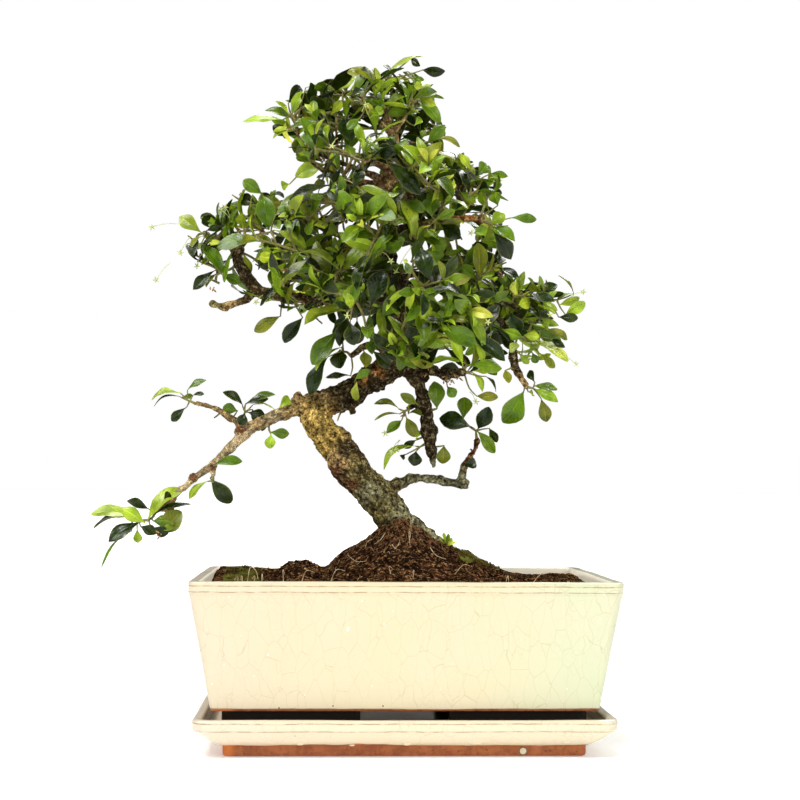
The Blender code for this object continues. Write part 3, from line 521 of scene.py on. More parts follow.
def add_piece(name, mesh, materials, replaced=(), smooth_angle=None):
    looks = [face.material_index for face in mesh.polygons]
    mesh.materials.clear()
    for material in materials:
        mesh.materials.append(material)
    mesh.polygons.foreach_set("material_index", looks)
    if smooth_angle is not None:
        mesh.shade_smooth()
        mesh.set_sharp_from_angle(angle=math.radians(smooth_angle))
    item = linked(name, mesh)
    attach(item, "root")
    if replaced:
        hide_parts(*replaced)
    return item


class Shape:
    """Points and faces of a mesh in the making, with a material number for each face."""

    def __init__(self):
        self.points = []
        self.faces = []
        self.looks = []

    def add(self, points, faces, look=0):
        start = len(self.points)
        self.points += [tuple(point) for point in points]
        self.faces += [tuple(start + index for index in face) for face in faces]
        self.looks += [look] * len(faces)
        return start

    def add_mesh(self, mesh):
        return self.add(*mesh_parts(mesh))

    def mesh(self):
        mesh = bpy.data.meshes.new("shape")
        mesh.from_pydata(self.points, [], self.faces)
        mesh.polygons.foreach_set("material_index", self.looks)
        mesh.update()
        return mesh


def loft(rings):
    """Points and faces of a closed body through rings of equal count."""
    count = len(rings[0])
    faces = [tuple(reversed(range(count)))]
    for level in range(len(rings) - 1):
        low = level * count
        for step in range(count):
            after = (step + 1) % count
            faces.append((low + step, low + after, low + count + after, low + count + step))
    faces.append(tuple(range((len(rings) - 1) * count, len(rings) * count)))
    return [point for ring in rings for point in ring], faces


def frames(route):
    """Each point and radius of a route, with the directions along and across it and the way so far."""
    across, travel = None, 0.0
    for index, (point, radius) in enumerate(route):
        before = route[max(index - 1, 0)][0]
        along = (route[min(index + 1, len(route) - 1)][0] - before).normalized()
        if across is None:
            across = along.orthogonal().normalized()
        across = (across - along * across.dot(along)).normalized()
        travel += (point - before).length
        yield point, radius, across, along.cross(across), along, travel


def tube(route, sides):
    """Points and faces of a tube around points with their own radii."""
    return loft([[point + radius * (across * cosine + other * sine) for cosine, sine in circle(sides)]
                 for point, radius, across, other, _, _ in frames(route)])


def smooth_route(route, steps):
    """Points and radii on a smooth curve through a route."""
    result = []
    for index in range(len(route) - 1):
        before = route[max(index - 1, 0)]
        start, end = route[index], route[index + 1]
        after = route[min(index + 2, len(route) - 1)]
        for step in range(steps):
            t = step / steps
            point = 0.5 * (2 * start[0] + (end[0] - before[0]) * t
                           + (2 * before[0] - 5 * start[0] + 4 * end[0] - after[0]) * t * t
                           + (3 * start[0] - 3 * end[0] + after[0] - before[0]) * t ** 3)
            result.append((point, start[1] + (end[1] - start[1]) * t))
    result.append(route[-1])
    return result


def combined(mesh, others, operation):
    """Boolean of a closed mesh with a list of closed meshes."""
    group = bpy.data.collections.new("others")
    bpy.context.scene.collection.children.link(group)
    for other in others:
        group.objects.link(bpy.data.objects.new("other", other))
    base = linked("base", mesh)
    modifier = base.modifiers.new("Combine", "BOOLEAN")
    modifier.operation = operation
    modifier.solver = "EXACT"
    modifier.operand_type = "COLLECTION"
    modifier.collection = group
    result = applied(base, *group.objects)
    bpy.data.collections.remove(group)
    return result


def mesh_parts(mesh):
    return [vertex.co for vertex in mesh.vertices], [tuple(face.vertices) for face in mesh.polygons]


def solid_tree(mesh):
    return BVHTree.FromPolygons(*mesh_parts(mesh))


def set_values(mesh, name, values, kind="FLOAT"):
    """Stores one number or colour for each point of a mesh."""
    layer = mesh.attributes.new(name, kind, "POINT")
    if kind == "FLOAT":
        layer.data.foreach_set("value", values)
    else:
        layer.data.foreach_set("color", [part for value in values for part in value])


def bead(centre, normal, radius, height, stretch=1.0):
    """Points and faces of a low round blob that sits on a surface."""
    side = normal.cross(up(1)).normalized()
    tall = side.cross(normal) * stretch
    return loft([[centre + radius * out * (side * cosine + tall * sine) + normal * height * lift
                  for cosine, sine in circle(12)]
                 for out, lift in ((0.8, -0.6), (1.0, 0.0), (0.86, 0.5), (0.55, 0.85), (0.12, 1.0))])


def looked_at(tree, column, row):
    """Point and outward normal of a surface seen at a photo column and row."""
    aim = (spot(column, row, 0) - VIEW_POSITION).normalized()
    return tree.ray_cast(VIEW_POSITION, aim)[:2]


def rounded_ring(width, depth, radius, height):
    """Points of a rounded rectangle, anticlockwise from above, its sides cut into short steps."""
    points = []
    corners = [Vector((side_x * (width / 2 - radius), side_y * (depth / 2 - radius), height))
               for side_x, side_y in ((1, 1), (-1, 1), (-1, -1), (1, -1))]
    counts = (round(SAUCER_WIDTH / SIDE_STEP), round(SAUCER_DEPTH / SIDE_STEP))
    for quarter, corner in enumerate(corners):
        for part in range(CORNER_STEPS + 1):
            angle = math.pi / 2 * (quarter + part / CORNER_STEPS)
            reach = radius * Vector((math.cos(angle), math.sin(angle), 0))
            points.append(corner + reach)
        last, first, count = points[-1], corners[(quarter + 1) % 4] + reach, counts[quarter % 2]
        points += [last.lerp(first, part / count) for part in range(1, count)]
    return points


def rounded_profile(corners):
    """Outline of insets and heights, with its corners (inset, height, radius) rounded and long runs cut."""
    outline = []
    for index, (inset, height, radius) in enumerate(corners):
        here = Vector((inset, height))
        if radius == 0.0:
            outline.append(here)
            continue
        before = Vector(corners[index - 1][:2]) - here
        after = Vector(corners[index + 1][:2]) - here
        reach = min(radius, before.length * 0.49, after.length * 0.49)
        start, end = here + before.normalized() * reach, here + after.normalized() * reach
        outline += [start * (1 - t) ** 2 + here * 2 * t * (1 - t) + end * t * t
                    for t in (0.0, 0.25, 0.5, 0.75, 1.0)]
    result = [outline[0]]
    for start, point in zip(outline, outline[1:]):
        count = max(1, math.ceil((point - start).length / PROFILE_STEP))
        result += [start.lerp(point, part / count) for part in range(1, count + 1)]
    return result


def vessel(width, depth, corner, profile, shrink=0.4):
    """A closed body with a rounded rectangular plan, whose corners get tighter with each inset."""
    shape = Shape()
    shape.add(*loft([rounded_ring(width - 2 * inset, depth - 2 * inset, max(corner - inset * shrink, 0.002),
                                  height) for inset, height in rounded_profile(profile)]))
    return shape.mesh()


def unsettle(mesh, scale, amount, low, high):
    """Gives a thrown surface its slight unevenness, growing from a low to a high level."""
    for vertex in mesh.vertices:
        part = limited((vertex.co.z - low) / (high - low))
        vertex.co += noise.noise_vector(vertex.co * scale) * amount * part


def pot_inset(height):
    return POT_TAPER * max(0.0, (POT_LIP_BOTTOM - height) / (POT_LIP_BOTTOM - POT_BOTTOM))


def block(low, high):
    xs, ys, zs = zip(low, high)
    shape = Shape()
    shape.add([(x, y, z) for z in zs for y in ys for x in xs],
              [(0, 2, 3, 1), (4, 5, 7, 6), (0, 1, 5, 4), (2, 6, 7, 3), (0, 4, 6, 2), (1, 3, 7, 5)])
    return shape.mesh()


def make_feet():
    """Four corner feet: a low wall around the bottom, cut open in the middles."""
    width = POT_WIDTH - 2 * (POT_TAPER + FOOT_INSET)
    depth = POT_DEPTH - 2 * (POT_TAPER + FOOT_INSET)
    high = POT_BOTTOM + 0.002
    wall = vessel(width, depth, POT_CORNER,
                  ((0.0016, FOOT_LOW, 0.0), (0.0, FOOT_LOW + 0.0014, 0.0), (0.0, high, 0.0)), 0.0)
    cuts = [block((-half_x, -half_y, FOOT_LOW - 0.01), (half_x, half_y, high + 0.01))
            for half_x, half_y in ((width / 2 - FOOT_WALL, depth / 2 - FOOT_WALL), (FRONT_ARCH / 2, depth),
                                   (width, SIDE_ARCH / 2))]
    return combined(wall, cuts, "DIFFERENCE")


# Iron specks on the pot's front, by photo column, row, radius in mm and stretch
SPECKS = ((229, 597, 0.55, 1.0), (362, 601, 0.50, 1.0), (348, 629, 0.75, 1.9), (384, 624, 0.45, 1.0),
          (393, 611, 0.40, 1.0), (600, 619, 0.55, 1.2), (604, 595, 0.45, 1.0), (279, 708, 0.50, 1.0),
          (333, 706, 0.45, 1.0), (383, 706, 0.50, 1.0), (452, 664, 0.30, 1.0), (521, 640, 0.35, 1.0),
          (268, 655, 0.50, 1.3), (567, 689, 0.35, 1.0), (295, 736, 0.45, 1.0), (226, 712, 0.30, 1.0),
          (224, 665, 0.30, 1.0), (254, 676, 0.28, 1.0), (212, 684, 0.40, 1.0), (305, 695, 0.30, 1.0),
          (372, 686, 0.35, 1.0), (241, 636, 0.22, 1.0), (440, 690, 0.25, 1.0), (487, 604, 0.28, 1.0))

SAUCER_ROW = 720                # photo row between the pot and the saucer
# Glaze drips over the saucer's base, by photo column, row, radius in mm and stretch
DRIPS = ((407, 744, 2.6, 0.9), (475, 743, 4.2, 0.55), (523, 751, 2.2, 1.0), (300, 744, 2.3, 0.6),
         (352, 745, 1.8, 0.6), (566, 742, 2.2, 0.6))


def dress(mesh, blobs):
    """Sets beads on the surface where it is seen: column, row, radius and height in mm, stretch, look."""
    tree = solid_tree(mesh)
    shape = Shape()
    shape.add_mesh(mesh)
    for column, row, radius, height, stretch, look in blobs:
        hit, normal = looked_at(tree, column, row)
        if hit:
            shape.add(*bead(hit, normal, radius * MM, height * MM, stretch), look)
    return shape.mesh()


def speck_beads(low_row, high_row):
    return [(column, row, radius, radius * SPECK_FLATNESS, stretch, 1)
            for column, row, radius, stretch in SPECKS if low_row < row < high_row]


def make_pot(glaze, speck, inside):
    floor = POT_BOTTOM + POT_FLOOR
    rim = POT_RIM_TOP + 0.0009
    inner = [(pot_inset(height) + POT_WALL, height) for height in (rim, POT_LIP_BOTTOM, floor)]
    body = vessel(POT_WIDTH, POT_DEPTH, POT_CORNER, (
        (POT_TAPER + 0.0030, POT_BOTTOM, 0.0), (POT_TAPER, POT_BOTTOM, 0.0016),
        (0.0006, POT_LIP_BOTTOM, 0.0008), (0.0, POT_LIP_BOTTOM + 0.0011, 0.0006),
        (0.0, rim, 0.0014), (*inner[0], 0.0024), (*inner[1], 0.001), (*inner[2], 0.003),
        (inner[2][0] + 0.006, floor, 0.0)))
    unsettle(body, 26.0, 0.00034, POT_BOTTOM, 0.06)
    body = combined(body, [make_feet()], "UNION")
    drains = []
    for centre in (-DRAIN_OFFSET, DRAIN_OFFSET):
        shape = Shape()
        shape.add(*loft([[(centre + DRAIN_RADIUS * cosine, DRAIN_RADIUS * sine, height)
                          for cosine, sine in circle(48)] for height in (POT_BOTTOM - 0.005, floor + 0.005)]))
        drains.append(shape.mesh())
    mesh = dress(combined(body, drains, "DIFFERENCE"), speck_beads(0, SAUCER_ROW))
    # The inner walls above the floor take the third material, a brighter glaze that glows: painted light.
    for face in mesh.polygons:
        inward = face.normal.x * face.center.x + face.normal.y * face.center.y
        if face.center.z > floor and inward < -0.02:
            face.material_index = 2
    return add_piece("glazed_pot", mesh, (glaze, speck, inside), ("pot",), 38)


def make_saucer(glaze, speck, drip):
    corners = [(SAUCER_FLARE + 0.005, 0.0, 0.0), (SAUCER_FLARE, 0.0, 0.0030),
               (SAUCER_FLARE, SAUCER_BASE_HEIGHT, 0.0)]
    corners += [(blend(SAUCER_FLARE, 0.0010, step / COVE_STEPS),
                 blend(SAUCER_BASE_HEIGHT, SAUCER_BAND_BOTTOM, (step / COVE_STEPS) ** 1.35), 0.0)
                for step in range(1, COVE_STEPS)]
    corners += [(0.0006, SAUCER_BAND_BOTTOM, 0.0006), (0.0, SAUCER_BAND_BOTTOM + 0.0009, 0.0004),
                (0.0, SAUCER_HEIGHT, 0.0020), (0.0052, SAUCER_HEIGHT, 0.0020),
                (0.0087, SAUCER_FLOOR, 0.0030), (0.016, SAUCER_FLOOR, 0.0)]
    mesh = vessel(SAUCER_WIDTH, SAUCER_DEPTH, SAUCER_CORNER, corners)
    for vertex in mesh.vertices:
        out = max(abs(vertex.co.x) - SAUCER_WIDTH / 2, abs(vertex.co.y) - SAUCER_DEPTH / 2)
        if out > -0.0075 and vertex.co.z > SAUCER_BASE_HEIGHT:
            vertex.co += noise.noise_vector(vertex.co * 24.0) * 0.00026
    beads = speck_beads(SAUCER_ROW, VIEW_SIDE)
    for column, row, radius, stretch in DRIPS:
        if stretch == 1.0:
            beads.append((column, row, radius + 0.45, 0.4, stretch, 1))
        beads.append((column, row, radius, 0.8, stretch, 2))
    mesh = dress(mesh, beads)
    return add_piece("glazed_saucer", mesh, (glaze, speck, drip), ("saucer",), 38)


# Small heaps on the soil: centre, height and radius
HEAPS = (((-0.002, -0.010), 0.0055, 0.013), ((0.103, -0.070), 0.0042, 0.010), ((0.112, 0.045), 0.0030, 0.014),
         ((-0.045, -0.062), 0.0022, 0.012), ((0.060, 0.060), 0.0030, 0.016), ((-0.020, 0.066), 0.0026, 0.015),
         ((0.040, -0.066), 0.0020, 0.012))


def limited(value):
    return min(max(value, 0.0), 1.0)


def smooth_step(value, low, high):
    part = limited((value - low) / (high - low))
    return part * part * (3 - 2 * part)
# A brighter cream for the inner walls, which also glows: painted light that lifts them out of their shade.


def soil_height(x, y):
    """Height of the soil: level, with the root mound, one smaller bump and a few low heaps."""
    dx, dy = x - MOUND_CENTRE[0], (y - MOUND_CENTRE[1]) * 0.9
    reach = math.hypot(dx, dy)
    right = 0.5 + 0.5 * dx / max(reach, 1e-6)
    fall = math.exp(-(reach / blend(*MOUND_SPREAD, right)) ** blend(*MOUND_POWER, right))
    height = SOIL_LEVEL + MOUND_HEIGHT * fall * (0.25 + 0.75 * smooth_step(x, -0.053, -0.040))
    bump = math.hypot(x - BUMP_CENTRE[0], (y - BUMP_CENTRE[1]) * 0.6) / BUMP_SPREAD
    height += BUMP_HEIGHT * math.exp(-bump ** 4)
    height += 0.0046 * smooth_step(y, 0.0, 0.055) * (1.0 - smooth_step(x, 0.052, 0.070))
    height += 0.0012 * (1.0 - smooth_step(x, -0.121, -0.094))
    return height + sum(rise * math.exp(-((x - centre[0]) ** 2 + (y - centre[1]) ** 2) / radius ** 2)
                        for centre, rise, radius in HEAPS)


def soil_detail(x, y, height):
    """Clods and grains on the soil, and a number from 0 to 1 for the tone of each grain."""
    place = Vector((x, y, height))
    mound = limited((height - SOIL_LEVEL) / 0.012)
    lumps = noise.fractal(place * 90.0, 0.9, 2.1, 4) * (0.0011 + 0.0012 * mound)
    distances, centres = noise.voronoi(place * 520.0 + noise.noise_vector(place * 200.0) * 0.4)
    grains = max(0.0, 0.62 - distances[0]) * 0.0011
    fibre = noise.noise(Vector((x * 420.0, y * 150.0, height * 420.0))) * 0.0005
    return height + lumps + grains + fibre, noise.cell(centres[0] * 7.3)


def into_outline(x, y, half_x, half_y, radius):
    """Moves a point that lies outside a rounded rectangle onto its edge."""
    over_x, over_y = abs(x) - (half_x - radius), abs(y) - (half_y - radius)
    if over_x > 0 and over_y > 0 and math.hypot(over_x, over_y) > radius:
        pull = radius / math.hypot(over_x, over_y)
        x = math.copysign(half_x - radius + over_x * pull, x)
        y = math.copysign(half_y - radius + over_y * pull, y)
    return x, y


def soil_tone(height, tone):
    """Colour of a grain of soil: dark red-brown with black, tan and grey grains."""
    mound = limited((height - SOIL_LEVEL) / 0.014)
    base = [blend(level, raised, mound) for level, raised in zip(srgb(98, 66, 36), srgb(60, 39, 25))]
    if tone > 0.95:
        base = srgb(140, 98, 64)
    elif tone > 0.84:
        base = srgb(112, 70, 48)
    elif tone < 0.20:
        base = srgb(36, 25, 18)
    gain = 0.46 + 0.84 * abs(math.sin(tone * 91.0))
    return [part * gain for part in base[:3]] + [1.0]


def grid(rows, columns):
    """Faces of a grid of points, row after row, and the points around its rim."""
    faces = [(i * columns + j, i * columns + j + 1, (i + 1) * columns + j + 1, (i + 1) * columns + j)
             for i in range(rows - 1) for j in range(columns - 1)]
    rim = (list(range(columns)) + [i * columns + columns - 1 for i in range(1, rows)]
           + [(rows - 1) * columns + j for j in range(columns - 2, -1, -1)]
           + [i * columns for i in range(rows - 2, 0, -1)])
    return faces, rim


def strip(rim, lower):
    """Faces between two loops of points."""
    return [(rim[k - 1], lower[k - 1], lower[k], rim[k]) for k in range(len(rim))]


def make_soil(material):
    wall = POT_WALL + 0.0002
    half_x, half_y = POT_WIDTH / 2 - wall, POT_DEPTH / 2 - wall
    count_x, count_y = round(2 * half_x / SOIL_CELL), round(2 * half_y / SOIL_CELL)
    points, tones = [], []
    for j in range(count_y + 1):
        for i in range(count_x + 1):
            x, y = into_outline(-half_x + 2 * half_x * i / count_x, -half_y + 2 * half_y * j / count_y,
                                half_x, half_y, 0.006)
            base = soil_height(x, y)
            height, tone = soil_detail(x, y, base)
            sink = 1.0 - limited(min(half_x - abs(x), half_y - abs(y)) / 0.006)
            points.append((x, y, height - 0.0016 * sink ** 2))
            tones.append(soil_tone(base, tone))
    faces, rim = grid(count_y + 1, count_x + 1)
    low = POT_BOTTOM + POT_FLOOR + 0.0004
    shrink = pot_inset(low) + 0.0002
    under = list(range(len(points), len(points) + len(rim)))
    points += [(points[k][0] * (1 - shrink / half_x), points[k][1] * (1 - shrink / half_y), low) for k in rim]
    tones += [srgb(70, 49, 32)] * len(rim)
    shape = Shape()
    shape.add(points, faces + strip(rim, under) + [tuple(reversed(under))])
    mesh = shape.mesh()
    set_values(mesh, "tone", tones, "FLOAT_COLOR")
    with editing(mesh) as clean:
        bmesh.ops.remove_doubles(clean, verts=clean.verts, dist=0.00004)
        bmesh.ops.dissolve_degenerate(clean, edges=clean.edges, dist=0.00002)
        bmesh.ops.recalc_face_normals(clean, faces=clean.faces)
    return add_piece("potting_soil", mesh, (material,), ("soil",), 75)


def ground_at(ground, x, y):
    """Point of the soil's surface at a place, or none outside it."""
    return ground.ray_cast(Vector((x, y, 0.5)), up(-1))[0]


def make_moss(name, node, centre, size, tufts, ground, material, seed):
    """A cushion of moss with small upright tufts."""
    dice = random.Random(seed)
    rings, spokes = 16, 56

    def placed(reach, angle):
        edge = (1.0 + 0.13 * math.sin(3 * angle + 1.0) + 0.08 * math.sin(5 * angle)
                + 0.05 * math.sin(11 * angle))
        x = centre[0] + size[0] * reach * edge * math.cos(angle)
        y = centre[1] + size[1] * reach * edge * math.sin(angle)
        x = min(max(x, -MOSS_EDGE), MOSS_EDGE)
        hit = ground_at(ground, x, y)
        return Vector((x, y, hit.z if hit else SOIL_LEVEL))

    loops = []
    for level in range(rings, 0, -1):
        reach = level / rings
        loop = [placed(reach, math.tau * spoke / spokes) for spoke in range(spokes)]
        for point in loop:
            rise = (1.0 - reach ** 2) ** 0.6 + noise.noise(point * 190.0) * (1.0 - reach ** 4)
            point.z += 0.0016 * rise if level < rings else -0.0012
        loops.append(loop)
    shape = Shape()
    shape.add(*loft(loops))
    tips = [0.0] * len(shape.points)
    for _ in range(tufts):
        reach, angle = math.sqrt(dice.random()) * 0.97, dice.uniform(0, math.tau)
        foot = placed(reach, angle)
        foot.z += 0.0014 * (1.0 - reach ** 2) ** 0.6 - 0.0003
        lean = Vector((dice.uniform(-0.5, 0.5), dice.uniform(-0.5, 0.5), 1.0)).normalized()
        tall, wide = dice.uniform(0.0010, 0.0026), dice.uniform(0.00022, 0.00042)
        corners = circle(3, dice.uniform(0, math.tau))
        ring = [foot + Vector((cosine, sine, 0)) * wide for cosine, sine in corners]
        shape.add([*ring, foot + lean * tall], [(2, 1, 0), (0, 1, 3), (1, 2, 3), (2, 0, 3)])
        tips += [0.0, 0.0, 0.0, dice.uniform(0.3, 1.0)]
    mesh = shape.mesh()
    set_values(mesh, "tuft_tip", tips)
    return add_piece(name, mesh, (material,), (node,), 70)


# Pale root fibres on the soil: photo columns, rows and a depth in mm
FIBRES = (
    ((410, 517), (411, 530), (409, 543), -15), ((400, 540), (398, 546), (394, 550), -20),
    ((372, 540), (367, 543), (365, 549), -18), ((413, 564), (414, 570), (412, 574), -70),
    ((509, 571), (508, 576), (506, 582), -84), ((242, 569), (242, 576), (240, 580), -88),
    ((252, 570), (255, 576), (252, 579), -86), ((262, 567), (262, 574), (263, 580), -88),
    ((246, 571), (250, 568), (256, 571), (258, 579), -88), ((236, 572), (238, 577), (234, 580), -88),
    ((409, 516), (411, 524), (409, 534), (410, 546), -24), ((385, 534), (380, 541), (374, 545), -24),
    ((392, 545), (395, 549), (400, 551), -40),
    ((284, 564), (283, 570), (285, 575), -80), ((391, 560), (389, 566), (394, 570), -66),
    ((300, 566), (306, 571), (315, 573), -78), ((330, 565), (336, 570), (345, 571), -74),
    ((455, 560), (463, 565), (470, 566), -60), ((530, 570), (541, 574), (552, 573), -78),
    ((430, 548), (436, 556), (446, 560), -36), ((348, 556), (356, 562), (366, 562), -44),
)


def wander(ground, dice, x, y, turn, steps, stride, lifts, radius, drift, swing):
    """A route that wanders over the soil, until it leaves it."""
    route = []
    for _ in range(steps):
        hit = ground_at(ground, x, y)
        if not hit:
            break
        route.append((hit + up(dice.uniform(*lifts)), radius))
        turn += drift + dice.uniform(-swing, swing)
        x, y = x + stride * math.cos(turn), y + stride * math.sin(turn)
    return route


def make_fibres(ground, materials):
    """Thin root fibres that lie on the soil, with a few that stand up from it."""
    dice = random.Random(5)
    shape = Shape()
    for *places, depth in FIBRES:
        on_mound = depth > -50
        route = []
        for index, (column, row) in enumerate(places):
            point = spot(column, row, depth)
            seen, _ = looked_at(ground, column, row)
            if on_mound and seen:
                point = seen + Vector((0, -0.0006, 0.0005))
            else:
                hit = ground_at(ground, point.x, point.y)
                floor = (hit.z if hit else SOIL_LEVEL) + 0.0002
                point.z = floor if index == 0 and not on_mound else max(point.z, floor)
            route.append((point, 0.00020))
        route[-1] = (route[-1][0], 0.00010)
        shape.add(*tube(smooth_route(route, 5), 6))
    for _ in range(70):
        x, y = dice.uniform(-0.115, 0.115), dice.uniform(-0.082, 0.082)
        turn, bend = dice.uniform(0, math.tau), dice.uniform(-0.5, 0.5)
        route = wander(ground, dice, x, y, turn, 6, 0.0014, (-0.0003, 0.0005), 0.00011, 0.5 * bend, 0.3)
        if len(route) > 2:
            shape.add(*tube(smooth_route(route, 3), 5))
    for _ in range(620):
        reach, turn = abs(dice.gauss(0, 0.020)), dice.uniform(0, math.tau)
        x, y = MOUND_CENTRE[0] + reach * math.cos(turn) * 1.4, -0.012 + reach * math.sin(turn) * 1.3
        route = wander(ground, dice, x, y, dice.uniform(0, math.tau), 5, 0.0013, (-0.0002, 0.0009), 0.00014,
                       0.0, 0.7)
        if len(route) > 2:
            shape.add(*tube(route, 4), 1)
    return add_piece("root_fibres", shape.mesh(), materials, (), 60)


def make_debris(ground, materials):
    """Bark chips, clods and husks scattered on the soil."""
    dice = random.Random(11)
    shape = Shape()
    # Number of chips, how their places are drawn, their sizes and looks
    areas = ((330, (dice.uniform, -0.118, 0.118), (dice.uniform, -0.084, 0.084), (0.0005, 0.0013),
              (0, 0, 0, 1, 2, 2)),
             (46, (dice.uniform, -0.055, -0.022), (dice.uniform, -0.085, -0.072), (0.0006, 0.0017), (1,)),
             (26, (dice.gauss, 0.104, 0.006), (dice.gauss, -0.072, 0.005), (0.0008, 0.0020), (0, 1)),
             (40, (dice.gauss, -0.066, 0.009), (dice.gauss, -0.004, 0.012), (0.0006, 0.0018), (0, 1, 2)))
    for count, (draw_x, *span_x), (draw_y, *span_y), sizes, looks in areas:
        for _ in range(count):
            x, y, size = draw_x(*span_x), draw_y(*span_y), dice.uniform(*sizes)
            look = dice.choice(looks) if len(looks) > 1 else looks[0]
            hit = ground_at(ground, x, y)
            if not hit:
                continue
            turn = (Matrix.Rotation(dice.uniform(0, math.tau), 3, "Z")
                    @ Matrix.Rotation(dice.uniform(-0.5, 0.5), 3, "X"))
            stretch = Vector((1.0, dice.uniform(0.35, 0.8), dice.uniform(0.25, 0.5))) * size
            rings = []
            for out, lift in ((0.35, -0.9), (0.85, -0.4), (1.0, 0.1), (0.8, 0.6), (0.3, 0.95)):
                reaches = [out * (1.0 + dice.uniform(-0.22, 0.22)) for _ in range(7)]
                rings.append([hit + turn @ (Vector((reach * cosine, reach * sine, lift)) * stretch)
                              + up(size * 0.12) for reach, (cosine, sine) in zip(reaches, circle(7))])
            shape.add(*loft(rings), look)
    return add_piece("soil_debris", shape.mesh(), materials, (), 50)


# Knots and swellings of the wood: column, row, depth in mm, radius in mm
KNOBS = (
    (373, 477, -2, 3.6), (352, 404, -4, 4.2), (318, 406, -2, 8.2), (300, 409, -4, 5.6), (286, 413, -7, 5.0),
    (193, 478, -18, 3.3), (212, 466, -15, 3.1), (240, 431, -12, 4.0), (252, 426, -11, 3.9),
    (262, 293, -18, 4.4), (237, 250, -12, 4.8), (224, 307, -20, 3.3), (213, 304, -20, 2.8),
    (480, 219, -10, 3.2), (446, 374, -2, 4.2), (462, 372, -4, 3.3),
    (515, 366, -5, 2.6), (526, 386, -4, 2.1), (490, 305, -10, 3.8), (461, 484, 5, 3.2), (441, 480, 4, 3.3),
    (342, 438, -3, 6.2), (431, 430, -12, 4.8), (405, 338, -2, 7.8), (385, 374, -5, 5.4),
    (425, 396, -10, 3.9), (428, 414, -11, 3.6), (431, 452, -12, 2.4), (409, 477, 2, 3.2), (397, 484, 1, 4.6),
    (432, 370, -1, 4.4), (326, 171, -10, 2.8), (393, 282, 0, 7.2), (318, 300, -13, 4.4), (411, 547, -6, 11.0),
    (401, 548, -6, 8.0), (399, 556, 6, 12.0),
    (298, 398, -5, 4.2), (324, 394, -6, 3.0), (326, 403, -5, 3.6), (310, 400, -8, 4.0), (350, 408, -6, 3.0),
    (379, 477, -3, 3.2), (340, 466, -2, 6.0), (352, 410, -8, 2.8), (421, 404, -10, 4.8),
    (424, 378, -6, 3.6), (477, 441, 2, 2.6),
    (462, 477, 4, 2.8),
)

# Thin twigs, with their radius in tenths of a mm
TWIGS = (
    ((353, 283, -34, 9), (356, 298, -33, 9), (360, 311, -32, 7)),
    ((370, 324, -16, 9), (373, 335, -16, 9), (376, 347, -15, 7)),
    ((303, 232, -14, 8), (320, 219, -13, 8), (339, 203, -10, 7)),
    ((346, 392, -9, 9), (343, 404, -11, 8), (341, 413, -11, 6), (337, 421, -11, 4)),
    ((222, 411, -14, 7), (214, 418, -15, 4)), ((470, 449, 0, 7), (475, 455, -1, 4)),
    ((386, 162, -4, 10), (372, 150, -8, 8), (362, 136, -9, 6)),
    ((412, 352, -6, 8), (432, 341, -8, 7), (450, 339, -8, 6), (466, 362, -6, 5)),
    ((402, 246, -6, 9), (420, 240, -10, 8), (432, 228, -12, 6)),
    ((424, 278, 0, 9), (438, 262, -2, 8), (446, 250, -3, 6)),
    ((462, 311, -9, 10), (474, 330, -9, 8), (478, 344, -8, 6)),
    ((513, 304, -8, 9), (520, 318, -8, 8), (522, 330, -8, 6)),
    ((350, 302, -8, 10), (342, 286, -11, 8), (338, 272, -13, 6)),
    ((310, 299, -13, 10), (312, 312, -14, 8), (322, 324, -16, 6)),
    ((391, 262, 1, 11), (372, 256, -6, 9), (352, 246, -10, 7)),
    ((389, 200, 1, 10), (374, 196, -8, 8), (352, 200, -12, 6)),
    ((340, 180, -8, 9), (350, 166, -9, 7), (350, 152, -9, 5)),
    ((418, 225, -4, 10), (424, 212, -6, 8), (424, 200, -8, 6)),
    ((449, 219, -8, 9), (456, 230, -9, 8), (462, 240, -10, 6)),
    ((456, 187, 3, 9), (462, 200, 0, 8), (474, 206, -2, 6)),
)

# A root that stands out of the mound's right side
SURFACE_ROOT = ((388, 507, 2, 6.0), (410, 520, -5, 4.6), (425, 531, -8, 3.8), (437, 540, -10, 3.0),
                (448, 551, -12, 2.4))

WOOD_VOXEL = 0.00098
CROWN_ROW = 345                 # photo row above which a limb lies in the crown
BARK_TONES = {
    "tan": srgb(200, 164, 108), "pale": srgb(232, 206, 158), "golden": srgb(236, 196, 100),
    "dark": srgb(60, 48, 30), "lichen": srgb(180, 178, 136), "olive": srgb(142, 130, 74),
    "orange": srgb(206, 138, 70), "red": srgb(134, 80, 50), "brown": srgb(108, 88, 54),
}

